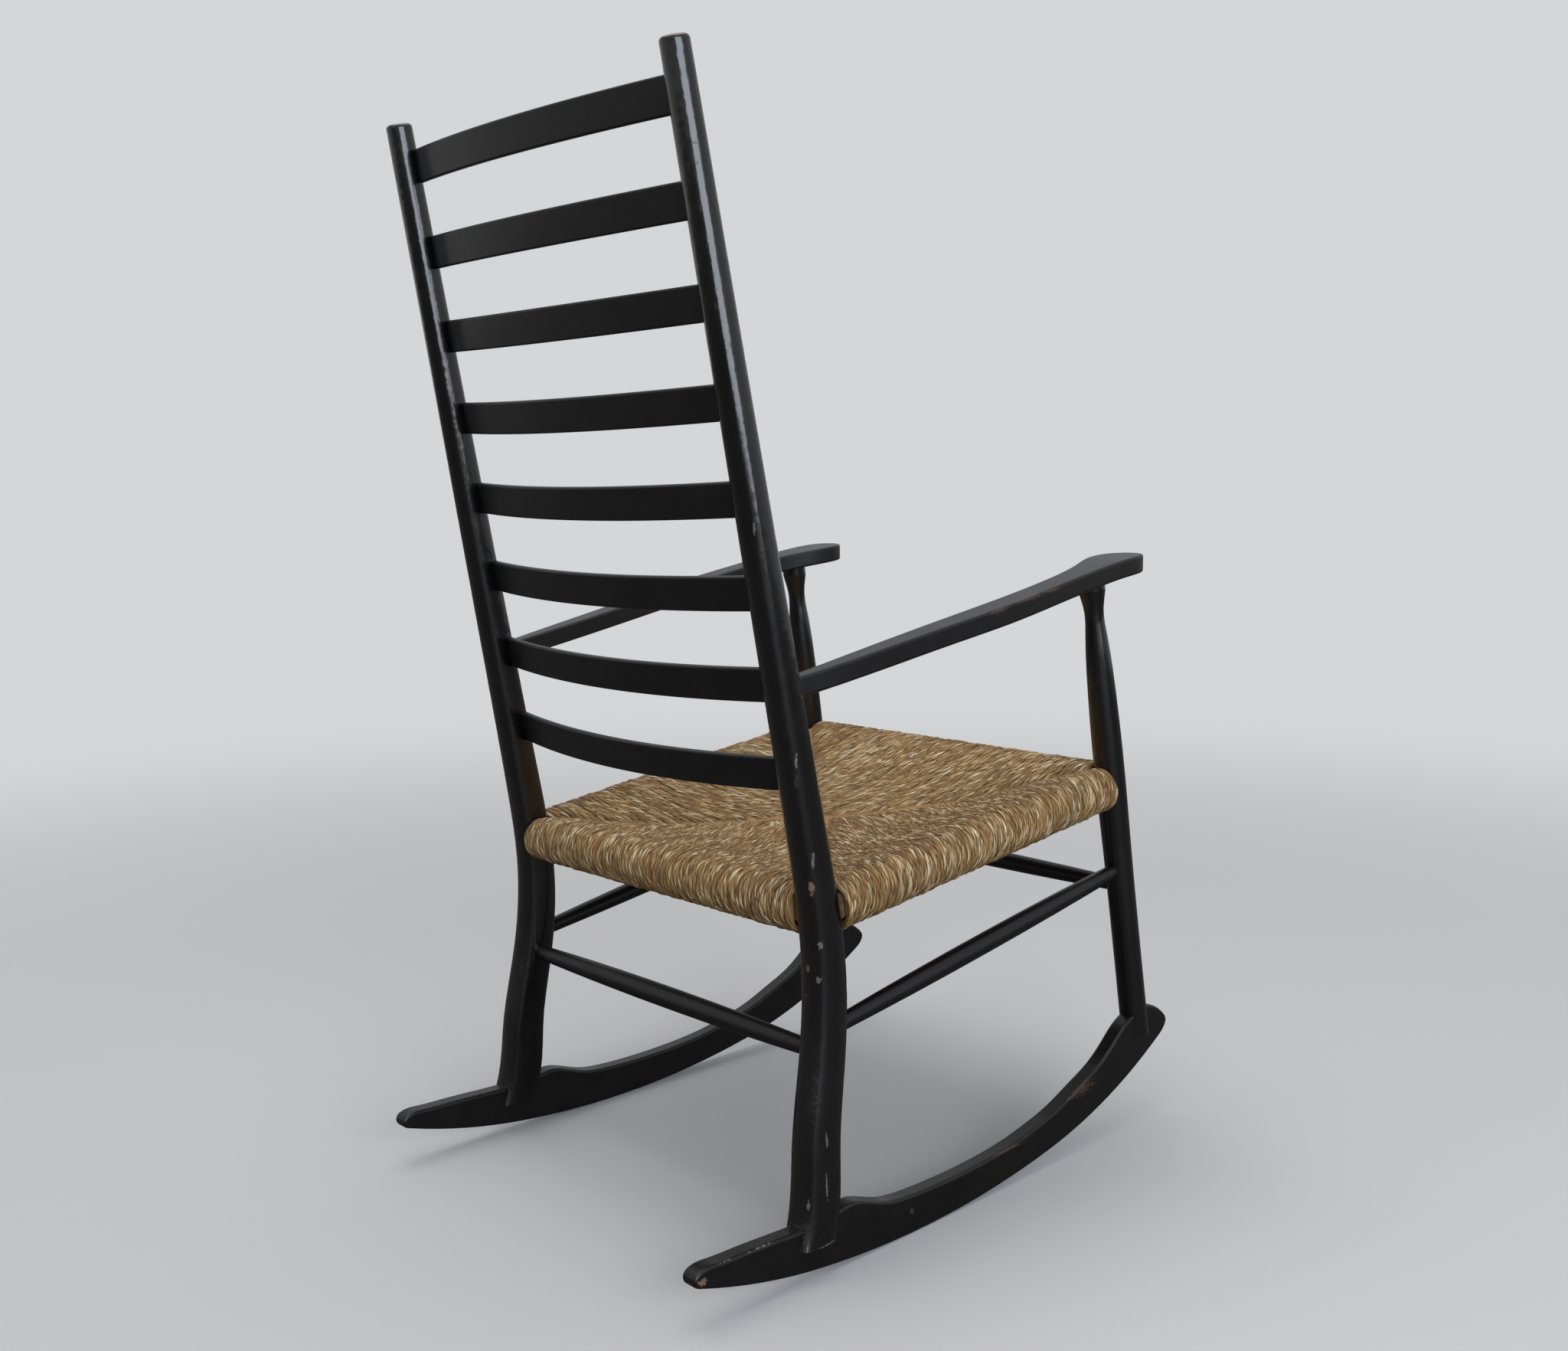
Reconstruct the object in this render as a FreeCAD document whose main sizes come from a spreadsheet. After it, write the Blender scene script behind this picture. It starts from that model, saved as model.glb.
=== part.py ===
"""High-back ladder-back rocking chair with a rush seat.

Millimetres, +Z up, the chair faces -Y and the sitter's left is +X. The origin is on the floor under
the middle of the chair's bounding box. Every driving size is a cell of the sheet called Sizes.
"""
import FreeCAD
import Part
import math
import os

from FreeCAD import Placement, Rotation, Vector

os.makedirs("parts", exist_ok=True)
doc = FreeCAD.newDocument("RockingChair")

# Driving sizes: alias, value, meaning
SIZES = [
    ("runner_half_spacing", 240, "middle plane of the chair to the middle of a runner"),
    ("runner_thickness", 18, "board thickness of a runner"),
    ("runner_rear_end", 352, "rear tip of a runner, from the origin"),
    ("runner_front_end", -352, "front of a runner's head, from the origin"),
    ("contact_y", 65, "where a runner touches the floor at rest"),
    ("rocker_radius", 1130, "radius of the middle of a runner's underside"),
    ("rocker_front_radius", 600, "radius of the front of the underside"),
    ("rocker_rear_radius", 700, "radius of the rear of the underside"),
    ("rocker_rear_join", 135, "floor contact back to where the rear arc starts"),
    ("rocker_front_join", 205, "floor contact forward to where the front arc starts"),
    ("bar_depth", 35, "depth of the slim part of a runner"),
    ("hump_depth", 54, "depth of a runner at the hump before the rear post"),
    ("head_depth", 63, "depth of a runner's head at the front leg"),
    ("tip_depth", 17, "depth of a runner's rear tip"),
    ("tip_rounding", 7, "how far the rear tip's rounded end reaches"),
    ("head_rounding", 12, "how far the head's rounded end reaches"),
    ("runner_easing", 3, "rounding of a runner's long edges"),
    ("post_foot_y", 208, "rear post at its foot"),
    ("post_foot_height", 35, "lower end of the rear post's tines"),
    ("post_bend_y", 169, "corner point of the rear post's bend"),
    ("post_bend_height", 281, "height of that corner point"),
    ("post_bend_half_width", 228, "middle plane to the rear post at the bend"),
    ("post_bend_length", 80, "length of the bend on either side of the corner point"),
    ("post_top_y", 321, "rear post at its top"),
    ("post_top_height", 1078.3, "top end of the rear post, at its axis"),
    ("post_top_half_width", 214.5, "middle plane to the rear post at the top"),
    ("post_foot_width", 34, "rear post at the foot, across the chair"),
    ("post_foot_depth", 42, "rear post at the foot, front to back"),
    ("post_bend_depth", 37.5, "rear post at the bend, front to back"),
    ("post_seat_depth", 33, "rear post above the seat, front to back"),
    ("post_top_diameter", 25.5, "rear post at the top"),
    ("post_corner", 8, "corner radius of the rear post at the foot"),
    ("post_top_easing", 4, "rounding of the rear post's top end"),
    ("slat_count", 8, "number of back slats"),
    ("slat_rise", 125.4, "rear seat rail up to the lowest slat's ends"),
    ("slat_top_drop", 41.1, "top of the rear post down to the top slat's ends"),
    ("slat_height", 32, "width of a slat's board"),
    ("slat_thickness", 7, "thickness of a slat"),
    ("slat_bow", 24.5, "how far a slat bows backwards"),
    ("slat_setback", 4.4, "slat's rear face in front of the post's axis, at its ends"),
    ("slat_tenon", 10, "how deep a slat enters a post"),
    ("slat_easing", 2, "rounding of a slat's long edges"),
    ("leg_foot_y", -303, "front leg at its foot"),
    ("leg_foot_height", 104, "lower end of the front leg's tines"),
    ("leg_top_y", -226, "front leg at the armrest"),
    ("leg_top_height", 616, "height where the front leg meets the armrest"),
    ("leg_top_half_width", 228, "middle plane to the front leg at the armrest"),
    ("leg_foot_diameter", 30.6, "front leg at its foot"),
    ("leg_seat_diameter", 32.6, "front leg at the seat, its widest"),
    ("leg_neck_diameter", 21, "front leg's neck"),
    ("leg_neck_drop", 32, "armrest down to the front leg's neck"),
    ("leg_collar_diameter", 28.6, "front leg's collar under the armrest"),
    ("leg_collar_drop", 11, "armrest down to where the collar is full"),
    ("leg_tenon_diameter", 16, "tenon on top of the front leg"),
    ("leg_tenon_length", 13, "how deep that tenon enters the armrest"),
    ("arm_thickness", 19.2, "board thickness of an armrest"),
    ("arm_rear_y", 218, "rear end of an armrest's board, inside the post"),
    ("arm_rear_height", 551, "top of an armrest at the rear end"),
    ("arm_level_y", -175, "where the armrest starts to level out"),
    ("arm_level_rise", 8.5, "top of the armrest there, above the leg's top"),
    ("arm_front_y", -299, "front end of an armrest"),
    ("arm_front_rise", 26, "top of the armrest's front end, above the leg's top"),
    ("arm_rear_inside", 219.5, "middle plane to an armrest's inner edge at the rear"),
    ("arm_rear_width", 11.5, "width of an armrest at the rear"),
    ("arm_middle_inside", 224, "middle plane to the inner edge at the middle"),
    ("arm_middle_width", 34, "width of an armrest at the middle"),
    ("arm_hand_inside", 200, "middle plane to the inner edge at the hand"),
    ("arm_hand_width", 56, "width of the hand paddle"),
    ("arm_easing", 2.5, "rounding of an armrest's edges"),
    ("arm_tenon_diameter", 10, "tenon at the rear of an armrest"),
    ("arm_tenon_length", 12, "how deep that tenon enters the post"),
    ("stretcher_end_diameter", 15.5, "stretchers at their ends"),
    ("stretcher_middle_diameter", 20.5, "front and side stretchers at the middle"),
    ("rear_stretcher_diameter", 22, "rear stretcher at the middle"),
    ("stretcher_tenon", 11, "how deep a stretcher enters a leg or post"),
    ("rear_stretcher_height", 204, "height of the rear stretcher"),
    ("front_stretcher_height", 277.5, "height of the front stretcher"),
    ("stretcher_rear_stagger", 18.5, "side stretcher above the rear one, at the rear post"),
    ("stretcher_front_stagger", 19.5, "side stretcher above the front one, at the front leg"),
    ("rail_rear_height", 335, "middle of the rear seat rail"),
    ("rail_front_height", 392, "middle of the front seat rail"),
    ("rail_depth", 26, "seat rail from top to bottom"),
    ("rail_width", 20, "seat rail across"),
    ("rail_corner", 6, "corner radius of a seat rail"),
    ("rail_tenon_diameter", 12, "tenon of a seat rail"),
    ("rail_tenon", 9, "how deep a seat rail enters a leg or post"),
    ("rail_shoulder", 2, "gap between a seat rail's shoulder and the wood"),
    ("seat_roll_radius", 24, "rush rounded over a seat rail"),
    ("seat_sag", 29, "dip of the rush at the middle of the seat"),
    ("seat_dip_reach", 82, "how far from a rail the dip is nearly full"),
    ("seat_swell", 4, "how far the underside hangs below the rolls"),
    ("rush_clearance", 0.3, "gap between the rush and the wood"),
    ("rear_pin_diameter", 8, "pin of a rear post's runner joint"),
    ("front_pin_diameter", 6, "pin of a front leg's runner joint"),
    ("rear_pin_rise", 9, "lower end of the rear post's tines up to the pin"),
    ("front_pin_rise", 12, "lower end of the front leg's tines up to the pin"),
    ("pin_recess", 0.2, "how far a pin's ends lie under the surface"),
]

sheet = doc.addObject("Spreadsheet::Sheet", "Sizes")
for row, (alias, value, meaning) in enumerate(SIZES, 1):
    sheet.set(f"A{row}", meaning)
    sheet.set(f"B{row}", str(value))
    sheet.setAlias(f"B{row}", alias)
doc.recompute()


def size(alias):
    return float(getattr(sheet, alias))


def origin_plane(body, role):
    return next(f for f in body.Origin.OriginFeatures if f.Role == role)


def new_sketch(body, name, role, edges, offset=Placement()):
    """A sketch on one of the body's own origin planes, with its closed outline."""
    sketch = body.newObject("Sketcher::SketchObject", name)
    sketch.AttachmentSupport = (origin_plane(body, role), "")
    sketch.MapMode = "FlatFace"
    sketch.AttachmentOffset = offset
    for edge in edges:
        sketch.addGeometry(edge, False)
    return sketch


def new_pad(body, name, sketch, length):
    """Pad to both sides of the sketch, with its length bound to the sheet."""
    pad = body.newObject("PartDesign::Pad", name)
    pad.Profile = sketch
    pad.SideType = "Symmetric"
    pad.setExpression("Length", length)
    return pad


def new_revolution(body, name, sketch):
    """A full turn of the sketch about its own upright axis."""
    turn = body.newObject("PartDesign::Revolution", name)
    turn.Profile = sketch
    turn.ReferenceAxis = (sketch, ["V_Axis"])
    turn.Angle = 360
    return turn


def segment(start, end):
    return Part.LineSegment(start, end)


def curve_through(points, start=None, end=None):
    """A smooth curve through the points, with its directions at both ends where they are given."""
    spline = Part.BSplineCurve()
    if start is None:
        spline.interpolate(Points=points)
    else:
        spline.interpolate(Points=points, InitialTangent=start, FinalTangent=end, Scale=False)
    return spline


def named(kind, label):
    obj = doc.addObject(kind, label)
    obj.Label = label
    return obj


def cut(label, base, tools):
    """The base less all the tools, as a boolean of the document."""
    if len(tools) == 1:
        tool = tools[0]
    else:
        tool = named("Part::MultiFuse", label + "_cutters")
        tool.Shapes = tools
    result = named("Part::Cut", label)
    result.Base = base
    result.Tool = tool
    return result


def common(label, first, second):
    result = named("Part::Common", label)
    result.Base = first
    result.Tool = second
    return result


def fuse(label, pieces):
    result = named("Part::MultiFuse", label)
    result.Shapes = pieces
    return result


def blend(low, high, share):
    return low + (high - low) * share


def side_name(side):
    return "left" if side > 0 else "right"


def aligned(direction):
    """The turn that takes +Z to the direction."""
    return Rotation(Vector(0, 0, 1), direction)


# Lines that several pieces share


def post_foot(side):
    return Vector(side * size("runner_half_spacing"), size("post_foot_y"), size("post_foot_height"))


def post_bend(side):
    return Vector(side * size("post_bend_half_width"), size("post_bend_y"), size("post_bend_height"))


def post_top(side):
    return Vector(side * size("post_top_half_width"), size("post_top_y"), size("post_top_height"))


def bend_limits(side):
    """Where the straight stretches of a rear post end: below and above its bend."""
    corner = post_bend(side)
    below = (post_foot(side) - corner).normalize() * size("post_bend_length")
    above = (post_top(side) - corner).normalize() * size("post_bend_length")
    return corner + below, corner + above


def bend_point(side, share):
    """A point of the rear post's bend, a parabola that is tangent to both straight stretches."""
    low, high = bend_limits(side)
    corner = post_bend(side)
    return low * (1 - share) ** 2 + corner * (2 * share * (1 - share)) + high * share ** 2


def post_axis(side, height):
    """The rear post's axis at a height."""
    low, high = bend_limits(side)
    if height <= low.z:
        start, end = post_foot(side), low
        return start + (end - start) * ((height - start.z) / (end.z - start.z))
    if height >= high.z:
        start, end = high, post_top(side)
        return start + (end - start) * ((height - start.z) / (end.z - start.z))
    lower, upper = 0.0, 1.0
    for _ in range(40):
        middle = (lower + upper) / 2
        if bend_point(side, middle).z < height:
            lower = middle
        else:
            upper = middle
    return bend_point(side, lower)


def post_rake():
    """Angle of the rear post's upper stretch from upright, seen from the side."""
    rise = size("post_top_height") - size("post_bend_height")
    return math.degrees(math.atan2(size("post_top_y") - size("post_bend_y"), rise))


def post_section(height):
    """Width, depth and corner radius of the rear post at a height."""
    foot, top = size("post_foot_height"), size("post_top_height")
    bend = size("post_bend_height")
    seat = blend(bend, top, 0.2)
    share = (height - foot) / (top - foot)
    width = blend(size("post_foot_width"), size("post_top_diameter"), share)
    stations = [
        (foot, size("post_foot_depth")),
        (bend, size("post_bend_depth")),
        (seat, size("post_seat_depth")),
        (top, size("post_top_diameter")),
    ]
    depth = stations[0][1]
    for (z0, d0), (z1, d1) in zip(stations, stations[1:]):
        if z0 <= height:
            depth = blend(d0, d1, (height - z0) / (z1 - z0))
    roundness = blend(size("post_corner") / size("post_foot_width"), 0.47, share ** 0.8)
    return width, depth, roundness * min(width, depth)


def leg_foot(side):
    return Vector(side * size("runner_half_spacing"), size("leg_foot_y"), size("leg_foot_height"))


def leg_top(side):
    return Vector(side * size("leg_top_half_width"), size("leg_top_y"), size("leg_top_height"))


def leg_axis(side, height):
    """The front leg's axis at a height."""
    start, end = leg_foot(side), leg_top(side)
    return start + (end - start) * ((height - start.z) / (end.z - start.z))


# Runners


def underside():
    """The runner's underside: three arcs, tangent to each other, from the rear tip to the head."""
    contact = size("contact_y")
    middle, front, rear = size("rocker_radius"), size("rocker_front_radius"), size("rocker_rear_radius")
    back, ahead = size("rocker_rear_join"), size("rocker_front_join")
    rear_join, front_join = math.asin(back / middle), math.asin(ahead / middle)
    tip = size("runner_rear_end") - size("tip_rounding") - contact - back
    head = contact - size("runner_front_end") - size("head_rounding") - ahead
    rear_end = math.asin(math.sin(rear_join) + tip / rear)
    front_end = math.asin(math.sin(front_join) + head / front)

    def on_middle(angle):
        return Vector(contact + middle * math.sin(angle), middle * (1 - math.cos(angle)))

    def on_rear(angle):
        shift = middle - rear
        return Vector(
            contact + shift * math.sin(rear_join) + rear * math.sin(angle),
            middle - shift * math.cos(rear_join) - rear * math.cos(angle),
        )

    def on_front(angle):
        shift = middle - front
        return Vector(
            contact - shift * math.sin(front_join) - front * math.sin(angle),
            middle - shift * math.cos(front_join) - front * math.cos(angle),
        )

    def arc(point, start, end):
        return Part.Arc(point(start), point((start + end) / 2), point(end))

    return [
        arc(on_rear, rear_end, rear_join),
        arc(on_middle, rear_join, -front_join),
        arc(on_front, front_join, front_end),
    ]


def underside_height(y):
    """Height of the runner's underside at a place along the chair."""
    line = Part.Wire([edge.toShape() for edge in underside()])
    reach = size("rocker_radius")
    probe = Part.makeLine(Vector(y, -reach, 0), Vector(y, reach, 0))
    return line.distToShape(probe)[1][0][0].y


def runner_outline():
    """Side view of a runner: x is the chair's Y, y is its Z."""
    rear, front = size("runner_rear_end"), size("runner_front_end")
    bar, hump, head = size("bar_depth"), size("hump_depth"), size("head_depth")
    tip, tip_round = size("tip_depth"), size("tip_rounding")
    head_round = size("head_rounding")
    post, leg = size("post_foot_y"), size("leg_foot_y")
    below = underside()
    first, last = below[-1].EndPoint, below[0].StartPoint
    chin = [
        first,
        first + Vector(-head_round * 0.67, head * 0.103),
        Vector(front, first.y + head * 0.238),
        first + Vector(-head_round * 0.375, head * 0.405),
    ]
    top_places = [
        (blend(leg, front, 0.551), blend(bar, head, 0.22)),
        (blend(leg, front, 0.184), blend(bar, head, 0.76)),
        (blend(leg, post, 0.0254), blend(bar, head, 0.982)),
        (blend(leg, post, 0.0607), head),
        (blend(leg, post, 0.1037), blend(bar, head, 0.75)),
        (blend(leg, post, 0.1526), blend(bar, head, 0.47)),
        (blend(leg, post, 0.2211), blend(bar, head, 0.32)),
        (blend(leg, post, 0.2994), blend(bar, head, 0.12)),
        (blend(leg, post, 0.3718), bar * 1.023),
        (blend(leg, post, 0.45), bar * 0.983),
        (blend(leg, post, 0.55), bar * 1.009),
        (blend(leg, post, 0.65), bar * 1.057),
        (blend(leg, post, 0.7495), blend(bar, hump, 0.22)),
        (blend(leg, post, 0.8121), blend(bar, hump, 0.4)),
        (blend(leg, post, 0.8571), blend(bar, hump, 0.75)),
        (blend(leg, post, 0.9022), hump),
        (blend(leg, post, 0.955), blend(tip, hump, 0.86)),
        (blend(post, rear, 0.1875), blend(tip, hump, 0.63)),
        (blend(post, rear, 0.5694), blend(tip, hump, 0.39)),
        (blend(post, rear, 0.8125), blend(tip, hump, 0.16)),
    ]
    top = [Vector(y, underside_height(y) + depth) for y, depth in top_places]
    nose = [
        last + Vector(-tip_round * 0.14, tip * 0.94),
        last + Vector(tip_round * 0.79, tip * 0.72),
        Vector(rear, last.y + tip * 0.43),
        last + Vector(tip_round * 0.64, tip * 0.135),
        last,
    ]
    out_front = first - below[-1].toShape().Curve.Center
    out_rear = last - below[0].toShape().Curve.Center
    ahead = Vector(out_front.y, -out_front.x).normalize()
    under = Vector(out_rear.y, -out_rear.x).normalize()
    return below + [curve_through(chin + top + nose, ahead, under)]


def flat_side_edges(shape, places):
    """Numbers of the edges that lie in one of the upright planes at the given places across."""
    numbers = []
    for number, edge in enumerate(shape.Edges, 1):
        box = edge.BoundBox
        if any(abs(box.XMin - place) < 0.01 and abs(box.XMax - place) < 0.01 for place in places):
            numbers.append(number)
    return numbers


def make_runner(side):
    """The board as sawn, which the slots of leg and post fit, and the board with eased edges."""
    body = named("PartDesign::Body", f"runner_board_{side_name(side)}")
    sketch = new_sketch(body, f"runner_side_{side_name(side)}", "YZ_Plane", runner_outline())
    new_pad(body, f"runner_pad_{side_name(side)}", sketch, "Sizes.runner_thickness")
    body.Placement = Placement(Vector(side * size("runner_half_spacing"), 0, 0), Rotation())
    doc.recompute()
    eased = named("Part::Fillet", f"runner_eased_{side_name(side)}")
    eased.Base = body
    half = size("runner_thickness") / 2
    planes = [side * size("runner_half_spacing") - half, side * size("runner_half_spacing") + half]
    radius = size("runner_easing")
    eased.Edges = [(number, radius, radius) for number in flat_side_edges(body.Shape, planes)]
    return body, eased


# Rear posts


def section_edges(width, depth, radius, centre=Vector(0, 0, 0)):
    """A rounded rectangle about a centre: four quarter arcs and the lines between them."""
    a, b, r = width / 2, depth / 2, radius
    k = r * (1 - math.sqrt(0.5))
    arcs = []
    for sx, sy in ((1, 1), (-1, 1), (-1, -1), (1, -1)):
        start = centre + Vector(sx * a, sy * (b - r))
        end = centre + Vector(sx * (a - r), sy * b)
        if sx * sy < 0:
            start, end = end, start
        arcs.append((start, centre + Vector(sx * (a - k), sy * (b - k)), end))
    edges = []
    for arc, following in zip(arcs, arcs[1:] + arcs[:1]):
        edges += [Part.Arc(*arc), segment(arc[2], following[0])]
    return edges


def soft_section(width, depth, radius):
    """A closed curve round a softly rounded rectangle, through three points of each corner."""
    a, b, r = width / 2, depth / 2, radius
    k = r * (1 - math.sqrt(0.5))
    points = []
    for sx, sy in ((1, 1), (-1, 1), (-1, -1), (1, -1)):
        upright, level = Vector(sx * a, sy * (b - r)), Vector(sx * (a - r), sy * b)
        corner = [upright, Vector(sx * (a - k), sy * (b - k)), level]
        points += corner if sx * sy > 0 else corner[::-1]
    curve = Part.BSplineCurve()
    curve.interpolate(Points=points, PeriodicFlag=True)
    return [curve]


def post_stations():
    """Heights of the post's sections, in even steps, the last one beyond the eased top."""
    foot = size("post_foot_height")
    top = size("post_top_height") + size("post_top_diameter") / 3
    steps = 12
    return [blend(foot, top, step / steps) for step in range(steps + 1)]


def make_post(side):
    """The whole rear post before its mortises are cut."""
    name = side_name(side)
    body = named("PartDesign::Body", f"post_blank_{name}")
    sections = []
    for index, height in enumerate(post_stations()):
        centre = post_axis(side, height)
        offset = Placement(centre, Rotation())
        edges = soft_section(*post_section(height))
        sections.append(new_sketch(body, f"post_section_{name}_{index}", "XY_Plane", edges, offset))
    loft = body.newObject("PartDesign::AdditiveLoft", f"post_loft_{name}")
    loft.Profile = sections[0]
    loft.Sections = sections[1:]
    doc.recompute()
    direction = (post_top(side) - post_bend(side)).normalize()
    turned = Rotation(Vector(1, 0, 0), direction, Vector(0, -1, 0), "YXZ")
    offset = Placement(post_top(side), turned)
    radius, easing = size("post_top_diameter") / 2, size("post_top_easing")
    low = radius + 0.1
    k = easing * (1 - math.sqrt(0.5))
    edge = Vector(low, -easing)
    beyond = [Vector(3 * radius, -easing), Vector(3 * radius, radius), Vector(0, radius)]
    edges = [
        segment(Vector(0, 0), Vector(low - easing, 0)),
        Part.Arc(Vector(low - easing, 0), Vector(low - k, -k), edge),
        segment(edge, beyond[0]),
        segment(beyond[0], beyond[1]),
        segment(beyond[1], beyond[2]),
        segment(beyond[2], Vector(0, 0)),
    ]
    sketch = new_sketch(body, f"post_end_{name}", "XY_Plane", edges, offset)
    groove = body.newObject("PartDesign::Groove", f"post_end_cut_{name}")
    groove.Profile = sketch
    groove.ReferenceAxis = (sketch, ["V_Axis"])
    groove.Angle = 360
    return body


# Back slats


def slat_height_at(index):
    """Height of a slat's ends: evenly from above the seat rail to below the posts' tops."""
    lowest = size("rail_rear_height") + size("slat_rise")
    highest = size("post_top_height") - size("slat_top_drop")
    return blend(lowest, highest, index / (size("slat_count") - 1))


def make_slat(index):
    """A board bent backwards, square to the raked posts, turned about its bow's centre.

    Index 0 is the lowest.
    """
    height = slat_height_at(index)
    axis = post_axis(1, height)
    inside = axis.x - post_section(height)[0] / 2
    bow, thick = size("slat_bow"), size("slat_thickness")
    radius = (inside ** 2 + bow ** 2) / (2 * bow)
    centre = bow - size("slat_setback") - radius
    label = f"back_slat_{int(size('slat_count')) - index}"
    body = named("PartDesign::Body", label)
    middle = Vector(radius - thick / 2, 0)
    edges = section_edges(thick, size("slat_height"), size("slat_easing"), middle)
    sketch = new_sketch(body, label + "_section", "YZ_Plane", edges)
    turn = body.newObject("PartDesign::Revolution", label + "_bend")
    turn.Profile = sketch
    turn.ReferenceAxis = (sketch, ["V_Axis"])
    turn.Midplane = True
    turn.Angle = math.degrees(2 * math.asin((inside + size("slat_tenon")) / radius))
    rake = Rotation(Vector(1, 0, 0), -post_rake())
    body.Placement = Placement(Vector(0, axis.y, axis.z) + rake * Vector(0, centre, 0), rake)
    return body


# Front legs


def make_leg(side):
    """The turned leg, up into the armrest's board, before its slot is cut."""
    name = side_name(side)
    foot, top = leg_foot(side), leg_top(side)
    length = (top - foot).Length

    def along(height):
        return (height - foot.z) / (top.z - foot.z) * length

    seat = along(blend(size("rail_rear_height"), size("rail_front_height"), 1.4))
    neck = length - size("leg_neck_drop")
    collar = length - size("leg_collar_drop")
    r_foot, r_seat = size("leg_foot_diameter") / 2, size("leg_seat_diameter") / 2
    r_neck, r_collar = size("leg_neck_diameter") / 2, size("leg_collar_diameter") / 2
    swell = [
        Vector(r_foot, 0),
        Vector(blend(r_foot, r_seat, -0.3), seat * 0.38),
        Vector(blend(r_foot, r_seat, 0.1), seat * 0.68),
        Vector(r_seat, seat),
        Vector(blend(r_neck, r_seat, 0.74), blend(seat, neck, 0.5)),
        Vector(blend(r_neck, r_seat, 0.17), blend(seat, neck, 0.84)),
        Vector(r_neck, neck),
        Vector(blend(r_neck, r_collar, 0.6), blend(neck, collar, 0.62)),
        Vector(r_collar, collar),
    ]
    end = length + size("arm_thickness") * 0.6
    edges = [
        curve_through(swell),
        segment(swell[-1], Vector(r_collar, end)),
        segment(Vector(r_collar, end), Vector(0, end)),
        segment(Vector(0, end), Vector(0, 0)),
        segment(Vector(0, 0), swell[0]),
    ]
    body = named("PartDesign::Body", f"leg_turning_{name}")
    sketch = new_sketch(body, f"leg_outline_{name}", "XZ_Plane", edges)
    new_revolution(body, f"leg_turn_{name}", sketch)
    body.Placement = Placement(foot, aligned(top - foot))
    tenon = named("Part::Cylinder", f"leg_tenon_{name}")
    tenon.setExpression("Radius", "Sizes.leg_tenon_diameter / 2")
    tenon.setExpression("Height", "2 * Sizes.leg_tenon_length")
    direction = (top - foot).normalize()
    tenon.Placement = Placement(top - direction * size("leg_tenon_length"), aligned(direction))
    return body, tenon


# Armrests


def arm_top_line():
    """Points of an armrest's top: rear, where it levels out, front. x is the chair's Y, y its Z."""
    leg = size("leg_top_height")
    rear = Vector(size("arm_rear_y"), size("arm_rear_height"))
    level = Vector(size("arm_level_y"), leg + size("arm_level_rise"))
    front = Vector(size("arm_front_y"), leg + size("arm_front_rise"))
    return rear, level, front


def arm_side_outline():
    """Side view of an armrest's board, longer than its plan: x is the chair's Y, y is its Z."""
    rear, level, front = arm_top_line()
    slope = (rear - level).normalize()
    crest = blend(level, front, 0.5) + Vector(0, size("arm_thickness") * 0.104)
    beyond = blend(level, front, 1.3)
    beyond.y = front.y + size("arm_thickness") * 0.078
    top = [rear, blend(rear, level, 0.5), level, crest, front, beyond]
    down = Vector(slope.y, -slope.x).normalize() * size("arm_thickness")
    down = down * (-1 if down.y > 0 else 1)
    below = [point + down for point in reversed(top)]
    return [
        curve_through(top),
        segment(top[-1], below[0]),
        curve_through(below),
        segment(below[-1], top[0]),
    ]


def arm_plan_outline(side):
    """Plan of an armrest: narrow at the rear, a rounded paddle at the hand."""
    rear, front = size("arm_rear_y"), size("arm_front_y")
    slim, middle, hand = size("arm_rear_inside"), size("arm_middle_inside"), size("arm_hand_inside")
    slim_width, middle_width = size("arm_rear_width"), size("arm_middle_width")
    hand_width = size("arm_hand_width")
    slim_out, middle_out, hand_out = slim + slim_width, middle + middle_width, hand + hand_width
    inner = [
        (0, slim),
        (0.17, slim - slim_width * 0.026),
        (0.36, blend(slim, middle, 0.6)),
        (0.54, middle + middle_width * 0.076),
        (0.71, middle + middle_width * 0.044),
        (0.84, blend(middle, hand, 0.4)),
        (0.93, hand + hand_width * 0.021),
        (0.97, hand + hand_width * 0.08),
    ]
    tip = [(0.992, hand + hand_width * 0.26), (1, hand + hand_width * 0.55)]
    outer = [
        (0.988, hand_out - hand_width * 0.16),
        (0.955, hand_out - hand_width * 0.018),
        (0.91, hand_out + hand_width * 0.005),
        (0.84, blend(middle_out, hand_out, 0.6)),
        (0.71, middle_out),
        (0.54, middle_out + middle_width * 0.05),
        (0.36, blend(slim_out, middle_out, 0.75)),
        (0.17, blend(slim_out, middle_out, 0.42)),
        (0, slim_out),
    ]
    points = [Vector(side * x, blend(rear, front, share)) for share, x in inner + tip + outer]
    return [curve_through(points), segment(points[-1], points[0])]


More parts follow.
